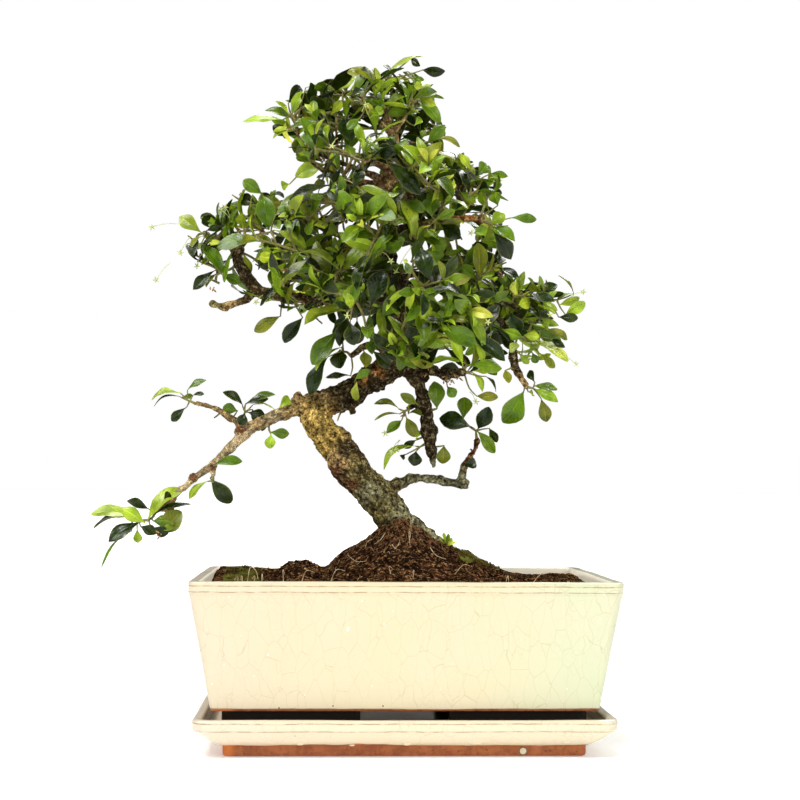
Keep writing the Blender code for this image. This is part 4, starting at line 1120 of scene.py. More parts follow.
# Where the bark has another tone than brown: tone, photo column, row and radius
BARK_PATCHES = (
    ("tan", 296, 396, 7), ("dark", 309, 401, 9), ("tan", 324, 396, 5), ("orange", 331, 413, 5),
    # The golden patches on the trunk's left bend are partly painted highlight, where the bend faces the
    # light, and partly its golden crust.
    ("olive", 366, 492, 34), ("olive", 404, 530, 34), ("tan", 300, 412, 22), ("golden", 318, 430, 26),
    ("golden", 322, 448, 17), ("tan", 338, 462, 10), ("red", 336, 474, 9), ("red", 350, 486, 8),
    ("dark", 345, 448, 8), ("lichen", 372, 498, 13), ("lichen", 398, 514, 13), ("lichen", 424, 530, 14),
    ("lichen", 438, 541, 10), ("olive", 380, 512, 14), ("dark", 372, 390, 22), ("dark", 396, 370, 20),
    ("dark", 346, 400, 11), ("orange", 378, 372, 6), ("orange", 364, 379, 5), ("dark", 406, 346, 14),
    ("tan", 264, 422, 16), ("pale", 238, 443, 17), ("pale", 214, 463, 16), ("pale", 192, 486, 15),
    ("tan", 168, 504, 12), ("pale", 272, 417, 10), ("tan", 214, 408, 22), ("red", 193, 477, 4),
    ("red", 212, 467, 4),
    ("red", 240, 430, 5), ("lichen", 430, 481, 26), ("lichen", 466, 482, 14), ("orange", 466, 219, 15),
    ("dark", 480, 218, 4), ("tan", 430, 222, 14), ("tan", 232, 304, 18), ("olive", 212, 303, 10),
    ("dark", 246, 272, 22),
    ("dark", 310, 298, 26), ("tan", 390, 178, 12), ("dark", 512, 350, 22), ("tan", 524, 386, 10),
    ("dark", 440, 372, 18), ("red", 476, 452, 18), ("dark", 424, 408, 22), ("dark", 430, 440, 20),
    ("dark", 395, 300, 40), ("dark", 390, 250, 34), ("red", 360, 180, 26),
    ("tan", 392, 130, 22), ("tan", 392, 176, 20), ("red", 338, 140, 18), ("dark", 470, 306, 34),
)


def wood_route(points, steps, unit=MM):
    """A smooth, slightly uneven route of a limb, which is thinner when it lies in the crown."""
    route = smooth_route([(spot(column, row, depth), radius * unit) for column, row, depth, radius in points],
                         steps)
    if points is not TRUNK and max(point[1] for point in points[1:]) < CROWN_ROW:
        route = [(point, radius * 0.8) for point, radius in route]
    return [(point, radius * (1.0 + 0.24 * noise.noise(point * 105.0))) for point, radius in route]


def photo_places(points):
    """Photo columns and rows of an array of points."""
    local = (points - np.array(VIEW_POSITION)) @ np.array(VIEW_AIM)
    return (VIEW_MIDDLE + VIEW_FOCAL * local[:, 0] / local[:, 1],
            VIEW_MIDDLE - VIEW_FOCAL * local[:, 2] / local[:, 1])


def bark_colours(points):
    """Local colour of the bark at each point, from brown to the tones of its patches, and how rugged it is:
    less on the low left branch and in the crown."""
    columns, rows = photo_places(points)
    colours = np.tile(np.array(BARK_TONES["brown"][:3]), (len(points), 1))
    wobble = np.array([noise.fractal(Vector(point) * 110.0, 0.8, 2.1, 3) for point in points])
    for tone, column, row, radius in BARK_PATCHES:
        away = np.hypot(columns - column, rows - row) / radius + wobble * 0.55
        share = np.clip(1.35 * np.exp(-np.maximum(away, 0.0) ** 2.4), 0.0, 1.0)[:, None] * 0.92
        colours = colours * (1 - share) + np.array(BARK_TONES[tone][:3]) * share
    colours *= (0.92 + 0.35 * wobble)[:, None]
    low_left = np.clip((300 - columns) / 30, 0.0, 1.0) * (rows > 360)
    rugged = 1.0 - 0.65 * low_left - 0.25 * (rows < CROWN_ROW)
    return np.hstack([np.clip(colours, 0.005, 1.0), rugged[:, None]])


class Grain:
    """Local directions along the wood, so that bark runs along every limb."""

    def __init__(self, routes):
        self.rows = [(*row, number) for number, route in enumerate(routes) for row in frames(route)]
        self.tree = KDTree(len(self.rows))
        for index, row in enumerate(self.rows):
            self.tree.insert(row[0], index)
        self.tree.balance()

    def at(self, place):
        """Offsets across the limb, distance along it, its radius and its number."""
        point, radius, across, other, along, travel, number = self.rows[self.tree.find(place)[1]]
        away = place - point
        return away.dot(across), away.dot(other), travel + away.dot(along), radius, number


def roughen(mesh, grain):
    """Lumps, plates and crevices of bark. Returns each vertex's place in a crevice and its streak of tone."""
    normals = [vertex.normal.copy() for vertex in mesh.vertices]
    crevices, streaks = [], []
    for vertex, normal in zip(mesh.vertices, normals):
        side, other, travel, radius, number = grain.at(vertex.co)
        offset = Vector((number * 3.7, number * 1.9, 0.0))

        def along_limb(across_scale, along_scale, shift=1.0):
            return Vector((side * across_scale, other * across_scale, travel * along_scale)) + offset * shift

        thick = min(1.0, radius / 0.009)
        strong = 0.35 + 0.65 * thick
        lump_scale = 1.0 / (max(radius, 0.002) * 1.15)
        lump = noise.noise(along_limb(lump_scale, lump_scale * 0.42)) * 0.22 * radius
        lump += noise.noise(vertex.co * 230.0 + offset) * 0.0011 * strong
        ridge = abs(noise.noise(along_limb(210.0, 62.0)))
        plate = abs(noise.noise(along_limb(120.0, 190.0, 2.0)))
        deep = max(0.0, 1.0 - ridge / 0.13) * 0.8 + max(0.0, 1.0 - plate / 0.07) * 0.4
        fine = noise.fractal(vertex.co * 420.0, 0.8, 2.1, 3)
        vertex.co += normal * (lump - deep * 0.0010 * (0.25 + 0.75 * thick) + fine * 0.00060 * strong)
        crevices.append(min(1.0, deep) * strong)
        streaks.append(noise.fractal(along_limb(300.0, 62.0), 0.8, 2.1, 3))
    return crevices, streaks


def keep_largest_shell(mesh):
    """The remesh leaves a few tiny bubbles inside the wood, so only the outer skin is kept."""
    with editing(mesh) as builder:
        reached, shells = set(), []
        for start in builder.verts:
            if start in reached:
                continue
            reached.add(start)
            shell = [start]
            for vertex in shell:
                for edge in vertex.link_edges:
                    other = edge.other_vert(vertex)
                    if other not in reached:
                        reached.add(other)
                        shell.append(other)
            shells.append(shell)
        shells.sort(key=len)
        bmesh.ops.delete(builder, geom=[vertex for shell in shells[:-1] for vertex in shell], context="VERTS")


def wood_piece(name, mesh, bark, nodes, crevices, gain=1.0):
    """Adds a piece of wood with the colours of its bark, brightened by a gain."""
    colours = bark_colours(np.array([vertex.co for vertex in mesh.vertices]))
    colours[:, :3] *= gain
    set_values(mesh, "bark", colours.tolist(), "FLOAT_COLOR")
    set_values(mesh, "crevice", crevices)
    return add_piece(name, mesh, (bark,), nodes, 180)


def make_tree(bark, routes):
    """Trunk, roots and limbs, grown into one by a voxel remesh and then given their bark."""
    shape = Shape()
    for route in routes:
        shape.add(*tube([(point, radius + 0.00012) for point, radius in route], 14))
    mesh = shape.mesh()
    with editing(mesh) as builder:
        for column, row, depth, radius in KNOBS:
            bmesh.ops.create_icosphere(builder, subdivisions=3, radius=radius * MM,
                                       matrix=Matrix.Translation(spot(column, row, depth)))
    base = linked("wood", mesh)
    remesh = base.modifiers.new("Blend", "REMESH")
    remesh.mode = "VOXEL"
    remesh.voxel_size = WOOD_VOXEL
    smooth = base.modifiers.new("Soften", "SMOOTH")
    smooth.factor = 0.5
    smooth.iterations = 3
    mesh = applied(base)
    keep_largest_shell(mesh)
    crevices, streaks = roughen(mesh, Grain(routes))
    mesh.update()
    gain = np.clip(1.0 + 0.75 * np.array(streaks), 0.35, 1.7)[:, None]
    return wood_piece("tree_wood", mesh, bark, ("trunk",), crevices, gain)


def make_twigs(bark):
    """Thin twigs too fine for the blended wood."""
    shape = Shape()
    for twig in TWIGS:
        shape.add(*tube([(point + noise.noise_vector(point * 160.0) * 0.0009, radius)
                         for point, radius in wood_route(twig, 6, MM / 10)], 7))
    return wood_piece("fine_twigs", shape.mesh(), bark, (), [0.25] * len(shape.points))


# Leafy shoots: name, stem by photo column, row and depth in mm, number of leaf whorls besides, and the
# leaves that the photo shows one by one: base, tip, width seen, and tone
# (y yellow, l lime, b bright, m middle green, o olive, d dark, g dark and glossy)
SHOOTS = (
    ("low_left_tip", ((150, 519, -22), (132, 521, -24)), 0, (
        (145, 523, 122, 508, 13, "l"), (139, 518, 91, 512, 11, "l"), (147, 522, 181, 486, 11, "l"),
        (149, 509, 127, 500, 9, "d"), (143, 520, 93, 522, 9, "d"), (141, 522, 108, 540, 13, "g"),
        (132, 531, 101, 568, 2, "m"), (137, 528, 138, 543, 8, "l"), (140, 526, 156, 534, 10, "d"),
        (150, 519, 191, 504, 4, "g"), (153, 521, 172, 521, 11, "m"), (163, 534, 181, 511, 19, "o"),
        (151, 527, 168, 534, 11, "g"), (157, 523, 175, 525, 10, "b"),
        (164, 500, 170, 492, 7, "d"))),
    ("low_left_pendant", ((213, 483, -17),), 0, (
        (210, 478, 231, 503, 15, "d"), (208, 481, 189, 499, 7, "l"), (213, 465, 241, 460, 9, "m"))),
    ("low_left_upper", ((187, 400, -15),), 0, (
        (181, 393, 151, 397, 8, "l"), (181, 397, 153, 404, 2, "d"), (187, 391, 205, 379, 6, "m"),
        (192, 396, 204, 394, 3, "d"), (187, 407, 171, 421, 8, "g"), (182, 397, 193, 396, 5, "m"))),
    ("low_left_inner", ((245, 412, -13),), 0, (
        (243, 406, 223, 392, 6, "d"), (238, 411, 223, 407, 11, "m"), (245, 405, 275, 394, 8, "m"),
        (245, 404, 268, 398, 7, "d"), (252, 405, 275, 409, 3, "l"), (247, 412, 266, 417, 12, "d"),
        (245, 413, 240, 425, 10, "d"), (262, 415, 262, 431, 8, "d"), (252, 409, 258, 424, 9, "d"),
        (279, 408, 289, 396, 10, "l"))),
    ("low_left_under", ((269, 428, -10),), 0, (
        (269, 432, 289, 434, 10, "m"), (271, 434, 270, 448, 10, "l"), (275, 421, 279, 416, 5, "l"))),
    ("under_crown", ((339, 352, -20),), 0, (
        (342, 329, 312, 364, 14, "m"), (329, 356, 308, 394, 10, "g"), (342, 347, 314, 367, 7, "l"),
        (340, 349, 340, 368, 16, "d"), (357, 319, 357, 344, 16, "d"), (347, 318, 339, 346, 12, "d"),
        (372, 350, 390, 367, 12, "d"), (402, 362, 384, 349, 10, "g"), (364, 351, 366, 367, 11, "o"),
        (357, 382, 356, 401, 7, "y"), (355, 379, 369, 370, 8, "m"), (351, 376, 326, 377, 4, "d"))),
    ("mid_left_far", ((218, 240, -14), (206, 233, -15)), 1, (
        (202, 233, 179, 216, 14, "l"), (206, 231, 226, 226, 7, "d"), (201, 243, 223, 271, 13, "m"),
        (204, 236, 190, 248, 3, "o"))),
    ("mid_left_high", ((252, 222, -8), (258, 207, -7)), 2, (
        (262, 194, 243, 180, 12, "m"), (257, 204, 240, 197, 12, "d"), (269, 230, 263, 196, 18, "m"),
        (270, 196, 284, 197, 4, "d"), (244, 230, 240, 213, 10, "l"))),
    ("mid_left_front", ((271, 232, -18),), 2, (
        (275, 216, 309, 194, 12, "m"), (274, 230, 307, 247, 13, "l"))),
    ("mid_left_low", ((222, 272, -12),), 2, (
        (216, 270, 193, 289, 8, "d"), (216, 274, 205, 286, 5, "o"), (221, 274, 241, 282, 10, "m"),
        (243, 253, 251, 274, 9, "o"))),
    ("mid_left_under", ((295, 305, -20),), 1, (
        (281, 316, 254, 331, 10, "o"), (303, 317, 283, 342, 13, "g"), (327, 308, 304, 323, 10, "l"),
        (346, 311, 314, 316, 7, "l"),
        (264, 291, 296, 293, 4, "l"), (276, 266, 258, 263, 10, "d"))),
    ("mid_left_inner", ((335, 274, -26),), 2, (
        (341, 272, 302, 248, 9, "l"), (342, 273, 367, 241, 12, "l"), (341, 270, 340, 253, 8, "l"),
        (298, 206, 319, 220, 10, "o"), (322, 225, 357, 207, 13, "o"), (349, 259, 359, 270, 5, "g"),
        (398, 246, 356, 233, 5, "l"),
        (360, 265, 377, 255, 11, "m"), (331, 305, 353, 293, 13, "m"))),
    ("top_left_far", ((290, 112, -3),), 1, (
        (283, 120, 243, 121, 7, "l"), (291, 118, 265, 110, 9, "m"), (288, 104, 301, 85, 12, "d"),
        (292, 115, 303, 91, 10, "l"), (315, 108, 301, 94, 10, "d"), (303, 133, 295, 153, 13, "o"),
        (291, 130, 273, 131, 6, "l"), (290, 131, 273, 138, 4, "l"), (326, 164, 295, 176, 13, "l"),
        (311, 189, 325, 181, 9, "o"), (290, 184, 281, 186, 9, "l"))),
    ("top_left", ((336, 112, -9),), 2, (
        (331, 115, 341, 100, 9, "l"), (343, 118, 351, 140, 18, "g"), (331, 128, 328, 146, 11, "d"),
        (345, 143, 354, 159, 9, "b"), (305, 88, 336, 91, 4, "o"), (348, 178, 361, 169, 8, "m"))),
    ("top_back", ((350, 96, 14),), 2, (
        (339, 90, 326, 84, 10, "d"), (339, 90, 355, 76, 9, "l"), (356, 88, 373, 83, 12, "m"))),
    ("top_peak", ((388, 78, -7),), 1, (
        (379, 78, 348, 71, 6, "o"), (387, 74, 421, 52, 7, "l"), (411, 58, 420, 66, 7, "d"),
        (422, 70, 445, 72, 10, "d"), (414, 78, 424, 80, 5, "m"))),
    ("top_right", ((413, 103, -2),), 1, (
        (412, 91, 422, 81, 8, "l"), (407, 103, 409, 83, 13, "m"), (411, 101, 437, 91, 8, "m"),
        (419, 98, 436, 106, 9, "l"), (416, 101, 441, 121, 9, "m"), (416, 110, 426, 118, 10, "d"),
        (414, 126, 421, 118, 7, "l"))),
    ("upper_right", ((431, 142, -6),), 1, (
        (427, 143, 445, 125, 12, "m"), (422, 139, 424, 130, 6, "m"), (436, 139, 460, 147, 4, "o"),
        (406, 146, 431, 148, 13, "d"), (424, 192, 437, 186, 7, "l"))),
    ("centre_left", ((411, 233, -26),), 2, (
        (411, 240, 403, 198, 11, "l"), (415, 240, 411, 211, 9, "l"), (417, 240, 428, 224, 5, "y"),
        (406, 199, 424, 211, 11, "m"))),
    ("centre_right", ((436, 219, -18),), 2, (
        (432, 218, 430, 197, 17, "m"), (435, 220, 455, 210, 9, "l"), (422, 223, 441, 223, 3, "l"))),
    ("right_high", ((476, 182, 3),), 2, (
        (471, 170, 459, 154, 8, "l"), (478, 176, 487, 163, 14, "m"), (489, 174, 508, 176, 7, "m"),
        (480, 187, 502, 194, 10, "g"), (489, 211, 480, 191, 9, "m"), (498, 206, 494, 192, 12, "m"),
        (460, 192, 476, 203, 9, "l"))),
    ("right_upper", ((490, 224, -14),), 1, (
        (491, 224, 504, 213, 13, "b"), (510, 218, 537, 219, 8, "m"), (491, 227, 515, 240, 8, "m"),
        (493, 231, 513, 259, 16, "d"), (487, 228, 475, 233, 10, "b"), (441, 224, 460, 238, 15, "d"))),
    ("right_middle", ((482, 279, -3),), 2, (
        (480, 278, 478, 243, 14, "o"), (481, 280, 493, 268, 11, "b"), (478, 280, 458, 265, 11, "m"))),
    ("right_lower", ((514, 297, -14),), 2, (
        (517, 298, 514, 281, 9, "y"), (522, 292, 540, 283, 10, "d"), (517, 305, 556, 311, 7, "l"),
        (519, 307, 554, 316, 10, "d"), (509, 311, 519, 333, 14, "g"))),
    ("right_far", ((557, 300, -3),), 1, (
        (554, 302, 541, 287, 13, "m"), (574, 294, 559, 275, 3, "o"), (556, 300, 574, 294, 5, "m"),
        (559, 305, 580, 298, 8, "l"), (565, 315, 585, 302, 11, "l"), (558, 317, 578, 318, 9, "d"))),
    ("right_under", ((528, 336, -8),), 1, (
        (502, 329, 521, 337, 11, "b"), (524, 335, 539, 337, 9, "l"), (545, 329, 568, 339, 7, "o"),
        (552, 339, 564, 347, 7, "d"), (526, 343, 569, 359, 5, "y"), (532, 352, 537, 363, 8, "m"),
        (539, 353, 555, 368, 7, "o"))),
    ("right_knob", ((466, 364, -6),), 1, (
        (463, 366, 452, 340, 9, "l"), (463, 358, 421, 335, 6, "l"), (467, 365, 502, 368, 11, "b"),
        (472, 372, 484, 391, 6, "l"), (465, 363, 432, 360, 7, "b"),
        (485, 376, 497, 391, 5, "d"), (505, 370, 509, 383, 8, "o"))),
    ("low_right_far", ((533, 388, -4),), 0, (
        (524, 391, 504, 424, 21, "m"), (535, 383, 528, 370, 8, "d"), (534, 386, 557, 388, 8, "m"),
        (535, 389, 558, 401, 10, "b"), (541, 398, 547, 422, 12, "o"), (528, 392, 533, 396, 4, "l"))),
    ("low_right_twig", ((476, 431, 2),), 0, (
        (472, 427, 440, 417, 18, "g"), (463, 421, 465, 397, 14, "m"), (478, 429, 489, 407, 15, "g"),
        (477, 431, 495, 453, 10, "b"),
        (489, 428, 497, 442, 8, "d"), (463, 465, 477, 463, 10, "d"), (476, 396, 498, 397, 9, "o"))),
    ("hanging_left", ((404, 411, -15),), 0, (
        (399, 409, 375, 402, 5, "o"), (400, 414, 374, 419, 2, "o"), (417, 404, 401, 394, 9, "o"),
        (406, 408, 414, 403, 5, "l"), (406, 417, 416, 437, 11, "o"), (402, 420, 387, 433, 9, "m"),
        (408, 414, 422, 414, 4, "o"), (416, 439, 420, 430, 5, "l"))),
    ("hanging_right", ((436, 409, -13),), 0, (
        (437, 409, 435, 381, 16, "m"), (447, 386, 455, 397, 10, "m"))),
    ("hanging_low", ((420, 447, -14),), 0, (
        (416, 440, 403, 448, 7, "d"), (416, 446, 382, 466, 5, "l"), (416, 451, 414, 466, 13, "d"),
        (406, 454, 403, 460, 4, "g"), (444, 445, 443, 464, 13, "o"))),
    ("front_top", ((362, 99, -33),), 2, ((370, 118, 383, 108, 9, "l"), (360, 118, 348, 128, 8, "m"))),
    ("front_upper_left", ((350, 155, -46),), 3, ()),
    ("front_upper_right", ((412, 165, -50),), 3, (
        (398, 154, 378, 149, 16, "g"), (388, 162, 421, 194, 15, "g"), (399, 148, 411, 164, 8, "b"))),
    ("front_left", ((325, 200, -54),), 3, ()),
    ("front_middle", ((377, 235, -68),), 4, ()),
    ("front_right", ((421, 287, -67),), 3, (
        (424, 289, 385, 309, 5, "l"), (405, 299, 417, 316, 13, "g"), (430, 281, 420, 248, 18, "g"),
        (439, 323, 451, 332, 4, "y"))),
    ("front_low_left", ((355, 300, -60),), 3, ((370, 308, 384, 271, 20, "g"), (350, 322, 354, 344, 16, "d"))),
    ("front_low_right", ((456, 309, -61),), 3, ()),
    ("front_low", ((400, 344, -57),), 3, ((409, 345, 388, 316, 10, "l"), (382, 325, 381, 340, 11, "b"))),
    ("front_far_left", ((298, 252, -50),), 3, ()),
    ("back_upper_left", ((309, 150, 49),), 5, ()),
    ("back_top", ((401, 114, 40),), 5, ()),
    ("back_upper_right", ((457, 180, 62),), 5, ()),
    ("back_middle", ((385, 198, 81),), 6, ()),
    ("back_left", ((300, 220, 66),), 6, ()),
    ("back_low_left", ((330, 284, 77),), 6, ()),
    ("back_low", ((400, 290, 91),), 6, ()),
    ("back_right", ((471, 261, 77),), 6, ()),
    ("back_low_right", ((501, 321, 61),), 6, ()),
    ("back_under", ((420, 352, 69),), 5, ()),
)

# The crown's outline in the photo, and the places where its background shows through: column, row, radius
CROWN = (
    (345, 72), (385, 66), (410, 75), (435, 92), (432, 118), (445, 128), (440, 150), (470, 158), (495, 170),
    (505, 195), (510, 215), (505, 240), (500, 262), (520, 275), (545, 283), (575, 292), (580, 312),
    (560, 330), (560, 350), (535, 362), (500, 372), (480, 378), (450, 385), (440, 370), (405, 362),
    (380, 352), (350, 345), (330, 330), (330, 310), (290, 318), (265, 298), (240, 292), (215, 288),
    (205, 270), (190, 250), (190, 230), (205, 215), (225, 205), (250, 190), (275, 195), (300, 198),
    (318, 180), (300, 160), (290, 140), (275, 128), (268, 108), (285, 92), (310, 88), (330, 80),
)
OPENINGS = (
    (243, 254, 6), (245, 266, 7), (250, 278, 7),
    (329, 210, 8), (344, 225, 5), (375, 226, 7), (263, 276, 8), (344, 287, 4), (211, 231, 5), (354, 350, 10),
    (342, 372, 8), (318, 95, 4), (378, 126, 4), (383, 135, 4), (336, 168, 4), (349, 171, 8), (373, 176, 9),
    (320, 186, 9), (398, 250, 7), (411, 254, 7), (424, 246, 7), (467, 235, 11), (454, 244, 6), (407, 281, 5),
    (420, 276, 6), (438, 297, 6), (405, 309, 4), (441, 355, 8), (448, 335, 4),
)

# Seed stars on thin stalks: column and row of the star, and of its stalk's foot
STARS = (
    (423, 171, 409, 153), (363, 192, 344, 179), (370, 139, 362, 150), (306, 123, 296, 122),
    (302, 120, 296, 122), (366, 105, 362, 112), (225, 207, 232, 222), (221, 210, 232, 222),
    (197, 266, 202, 253), (366, 274, 360, 266), (391, 261, 382, 252), (396, 272, 412, 246),
    (471, 233, 480, 228), (500, 180, 490, 178), (550, 315, 519, 305), (547, 344, 536, 340),
    (554, 349, 536, 340), (558, 353, 540, 344), (576, 364, 556, 352), (583, 292, 570, 298),
    (347, 316, 352, 304), (476, 402, 470, 392), (391, 452, 400, 440), (396, 450, 400, 440),
    (385, 433, 398, 424), (256, 302, 266, 294), (156, 280, 170, 263), (152, 227, 179, 224),
    (180, 253, 191, 236), (444, 166, 432, 158), (332, 146, 338, 138), (488, 322, 480, 314),
)

# Dry brown bits: column and row
DRY_BITS = ((212, 289), (311, 146), (331, 149), (452, 383), (458, 379), (443, 379), (428, 372),
            (241, 229), (262, 234), (291, 127), (369, 160), (499, 299), (283, 270), (303, 303), (405, 413),
            (447, 381), (462, 321), (500, 276), (160, 534), (352, 330), (420, 205))

GOLDEN_ANGLE = math.radians(137.5)      # from one leaf of a spray to the next
SPRAYS_PER_WHORL = 3.4
BRIGHT_SPRAYS = 0.34            # share of the sprays whose leaves are young
BOX_SLACK = 0.0015              # how far a leaf's tip may pass the CAD box
CROWN_MIDDLE = (395, 235, 6)    # photo column and row, depth in mm
LEAF_TONES = {
    "y": srgb(186, 202, 80), "l": srgb(150, 178, 48), "b": srgb(118, 150, 32), "m": srgb(84, 116, 18),
    "o": srgb(112, 122, 32), "d": srgb(24, 38, 2), "g": srgb(15, 36, 4),
}
# Grids of a leaf, across and along it: a fine one for leaves in the photo, a plainer one for the rest
LEAF_GRIDS = {
    "fine": ((-1.0, -0.62, -0.16, 0.0, 0.16, 0.62, 1.0),
             (0.0, 0.07, 0.16, 0.27, 0.39, 0.51, 0.62, 0.72, 0.81, 0.88, 0.94, 0.98, 1.0)),
    "plain": ((-1.0, -0.5, 0.0, 0.5, 1.0), (0.0, 0.13, 0.30, 0.47, 0.63, 0.77, 0.88, 0.955, 1.0)),
}


def leaf_grid(across, along):
    """Where each point of a leaf lies across and along it, its top faces, and its under and rim faces."""
    top, rim = grid(len(along), len(across))
    size = len(along) * len(across)
    under = [tuple(size + index for index in reversed(face)) for face in top]
    u, t = [part.ravel() for part in np.meshgrid(across, along)]
    return u, t, top, under + strip(rim, [size + index for index in rim])


LEAVES = {kind: leaf_grid(*lines) for kind, lines in LEAF_GRIDS.items()}


class Foliage:
    """The leaves, stalks and seed stars of one shoot, gathered into one mesh."""

    def __init__(self):
        self.shape = Shape()
        self.blades = []
        self.tones = []

    def add(self, points, faces, look):
        """Adds a part that takes its colour from its material alone."""
        self.shape.add(points, faces, look)
        self.tones += [[1, 1, 1, 1]] * len(points)
        self.blades += [(0.5, 0.5)] * len(points)

    def leaf(self, base, tip, normal, width, tone, dice, arch, curl, kind="fine"):
        """A thin closed blade: u runs across it from -1 to 1, t along it from 0 to 1."""
        u, t, top_faces, other_faces = LEAVES[kind]
        along = tip - base
        length = along.length
        along.normalize()
        normal = (normal - along * normal.dot(along)).normalized()
        fullness, blunt = dice.uniform(1.2, 1.75), dice.uniform(0.10, 0.48)
        half = width / 2 * np.maximum(np.sin(np.pi * t ** fullness), 0.0) ** (0.98 - blunt * t)
        half = np.maximum(half, np.where(t > 0.9, width * 0.02, 0.00034))
        if dice.random() < 0.35:
            half = half * (1.0 + np.where(t > 0.66, 0.035, 0.0) * np.cos(t * 40.0))
        cup, ripple, phase = dice.uniform(-0.16, 0.62), dice.uniform(0.0, 0.16), dice.uniform(0, 6.28)
        twist = dice.uniform(-0.55, 0.55) * t
        rise = arch * length * np.sin(np.pi * t ** 0.92)
        rise -= curl * length * np.maximum(0.0, t - 0.55) ** 2 * 2.2
        rise += half * np.abs(u) ** 1.4 * (cup + ripple * np.sin(t * 11.0 + phase * np.sign(u)))
        rise -= 0.10 * half * np.abs(u) ** 5
        midrib = np.exp(-(u / 0.10) ** 2) * np.minimum(half, 0.0022)
        thick = 0.00014 * (1.0 - 0.55 * u ** 2)
        axes = np.array([along, along.cross(normal), normal])
        points = []
        for lift in (rise + thick - midrib * 0.13, rise - thick - midrib * 0.17):
            across = half * u * np.cos(twist) - lift * np.sin(twist)
            upward = half * u * np.sin(twist) + lift * np.cos(twist)
            points += (np.array(base) + np.stack([t * length, across, upward], axis=1) @ axes).tolist()
        start = self.shape.add(points, top_faces, 0)
        self.shape.faces += [tuple(start + index for index in face) for face in other_faces]
        self.shape.looks += [1] * len(other_faces)
        self.blades += list(zip(u * 0.5 + 0.5, t)) * 2
        jitter = dice.uniform(0.82, 1.18)
        colour = [tone[0] * jitter * dice.uniform(0.90, 1.10), tone[1] * jitter, tone[2] * jitter, 1.0]
        self.tones += [colour] * len(points)

    def stalk(self, route, sides=6, look=2):
        self.add(*tube(route, sides), look)

    def star(self, centre, foot, dice):
        """A seed star: five narrow pale sepals around a bead, on a thin stalk."""
        bend = foot.lerp(centre, 0.5) + up(0.0012)
        self.stalk(smooth_route([(foot, 0.00026), (bend, 0.00021), (centre, 0.00024)], 3), 5, 3)
        facing = (VIEW_POSITION - centre).normalized()
        facing = (facing + Vector((dice.uniform(-0.6, 0.6), 0, dice.uniform(-0.4, 0.6)))).normalized()
        side = facing.orthogonal().normalized()
        other = facing.cross(side)
        for cosine, sine in circle(5, dice.uniform(0, math.tau)):
            out = side * cosine + other * sine
            over = facing.cross(out) * 0.001
            out *= dice.uniform(0.0021, 0.0030)
            lift = facing * 0.0001
            self.add([centre + step for step in (
                over * 0.18, over * -0.18, out * 0.45 - over * 0.48, out + lift * 4, out * 0.45 + over * 0.48,
                out * 0.4 + lift * 3, out * 0.4 - lift * 2)],
                     [(0, 1, 5), (1, 2, 5), (2, 3, 5), (3, 4, 5), (4, 0, 5),
                      (1, 0, 6), (2, 1, 6), (3, 2, 6), (4, 3, 6), (0, 4, 6)], 3)
        self.add(*loft([[centre + facing * lift + (side * cosine + other * sine) * out
                         for cosine, sine in circle(8)]
                        for lift, out in ((-0.0005, 0.0003), (0.0, 0.0007), (0.0005, 0.0005),
                        (0.0007, 0.0001))]), 3)

    def dry_bit(self, centre, dice):
        for _ in range(4):
            drift = random_vector(dice, 0.0014)
            end = drift + random_vector(dice, 0.0026)
            self.stalk([(centre + drift, 0.0003), (centre + (drift + end) / 2, 0.0006),
            (centre + end, 0.0002)],
                       5, 4)

    def piece(self, name, nodes, materials):
        mesh = self.shape.mesh()
        set_values(mesh, "leaf_tone", self.tones, "FLOAT_COLOR")
        corners = np.empty(len(mesh.loops), dtype=np.int32)
        mesh.loops.foreach_get("vertex_index", corners)
        layer = mesh.uv_layers.new(name="blade")
        layer.data.foreach_set("uv", np.array(self.blades, dtype=np.float32)[corners].ravel())
        return add_piece(name, mesh, materials, nodes, 50)


def random_vector(dice, reach):
    return Vector([dice.uniform(-reach, reach) for _ in range(3)])


def inside_crown(column, row):
    """Whether a photo place lies inside the crown's outline."""
    inside = False
    for (x1, y1), (x2, y2) in zip(CROWN, CROWN[1:] + CROWN[:1]):
        if (y1 > row) != (y2 > row) and column < (x2 - x1) * (row - y1) / (y2 - y1) + x1:
            inside = not inside
    return inside


def in_opening(column, row):
    return any(math.hypot(column - x, row - y) < radius * 0.95 for x, y, radius in OPENINGS)


def outside_box(point):
    low, high = cad_box
    return any(value < start - BOX_SLACK or value > end + BOX_SLACK
               for value, start, end in zip(point, low, high))


def shown_leaves():
    """Large or bright leaves that stay in view: ends and reach in the photo, and the depth of their bases."""
    rows = [(*leaf[:4], leaf[4] / 2 + 1.0, stem[-1][2] * MM)
            for _, stem, _, leaves in SHOOTS for leaf in leaves
            if leaf[4] >= 14 or (leaf[4] >= 8 and leaf[5] in "ylb")]
    return np.array(rows).T


SHOWN = shown_leaves()


def hides_leaf(point, column, row):
    """Whether a point hides one of the leaves that stay in view."""
    x1, y1, x2, y2, reach, depth = SHOWN
    run, drop = x2 - x1, y2 - y1
    part = np.clip(((column - x1) * run + (row - y1) * drop) / (run ** 2 + drop ** 2), 0.0, 1.0)
    away = np.hypot(column - x1 - run * part, row - y1 - drop * part)
    return bool(np.any((away < reach) & (point.y < depth)))


def leaf_allowed(base, tip):
    """Whether a leaf keeps inside the crown's outline and out of its openings, as the photo sees them."""
    if outside_box(tip):
        return False
    for part in (0.2, 0.6, 1.0):
        point = base.lerp(tip, part)
        if hides_leaf(point, *seen_at(point)):
            return False
    for part in (0.45, 0.75, 1.0):
        column, row = seen_at(base.lerp(tip, part))
        if in_opening(column, row) or (part < 1.0 and not inside_crown(column, row)):
            return False
    return True


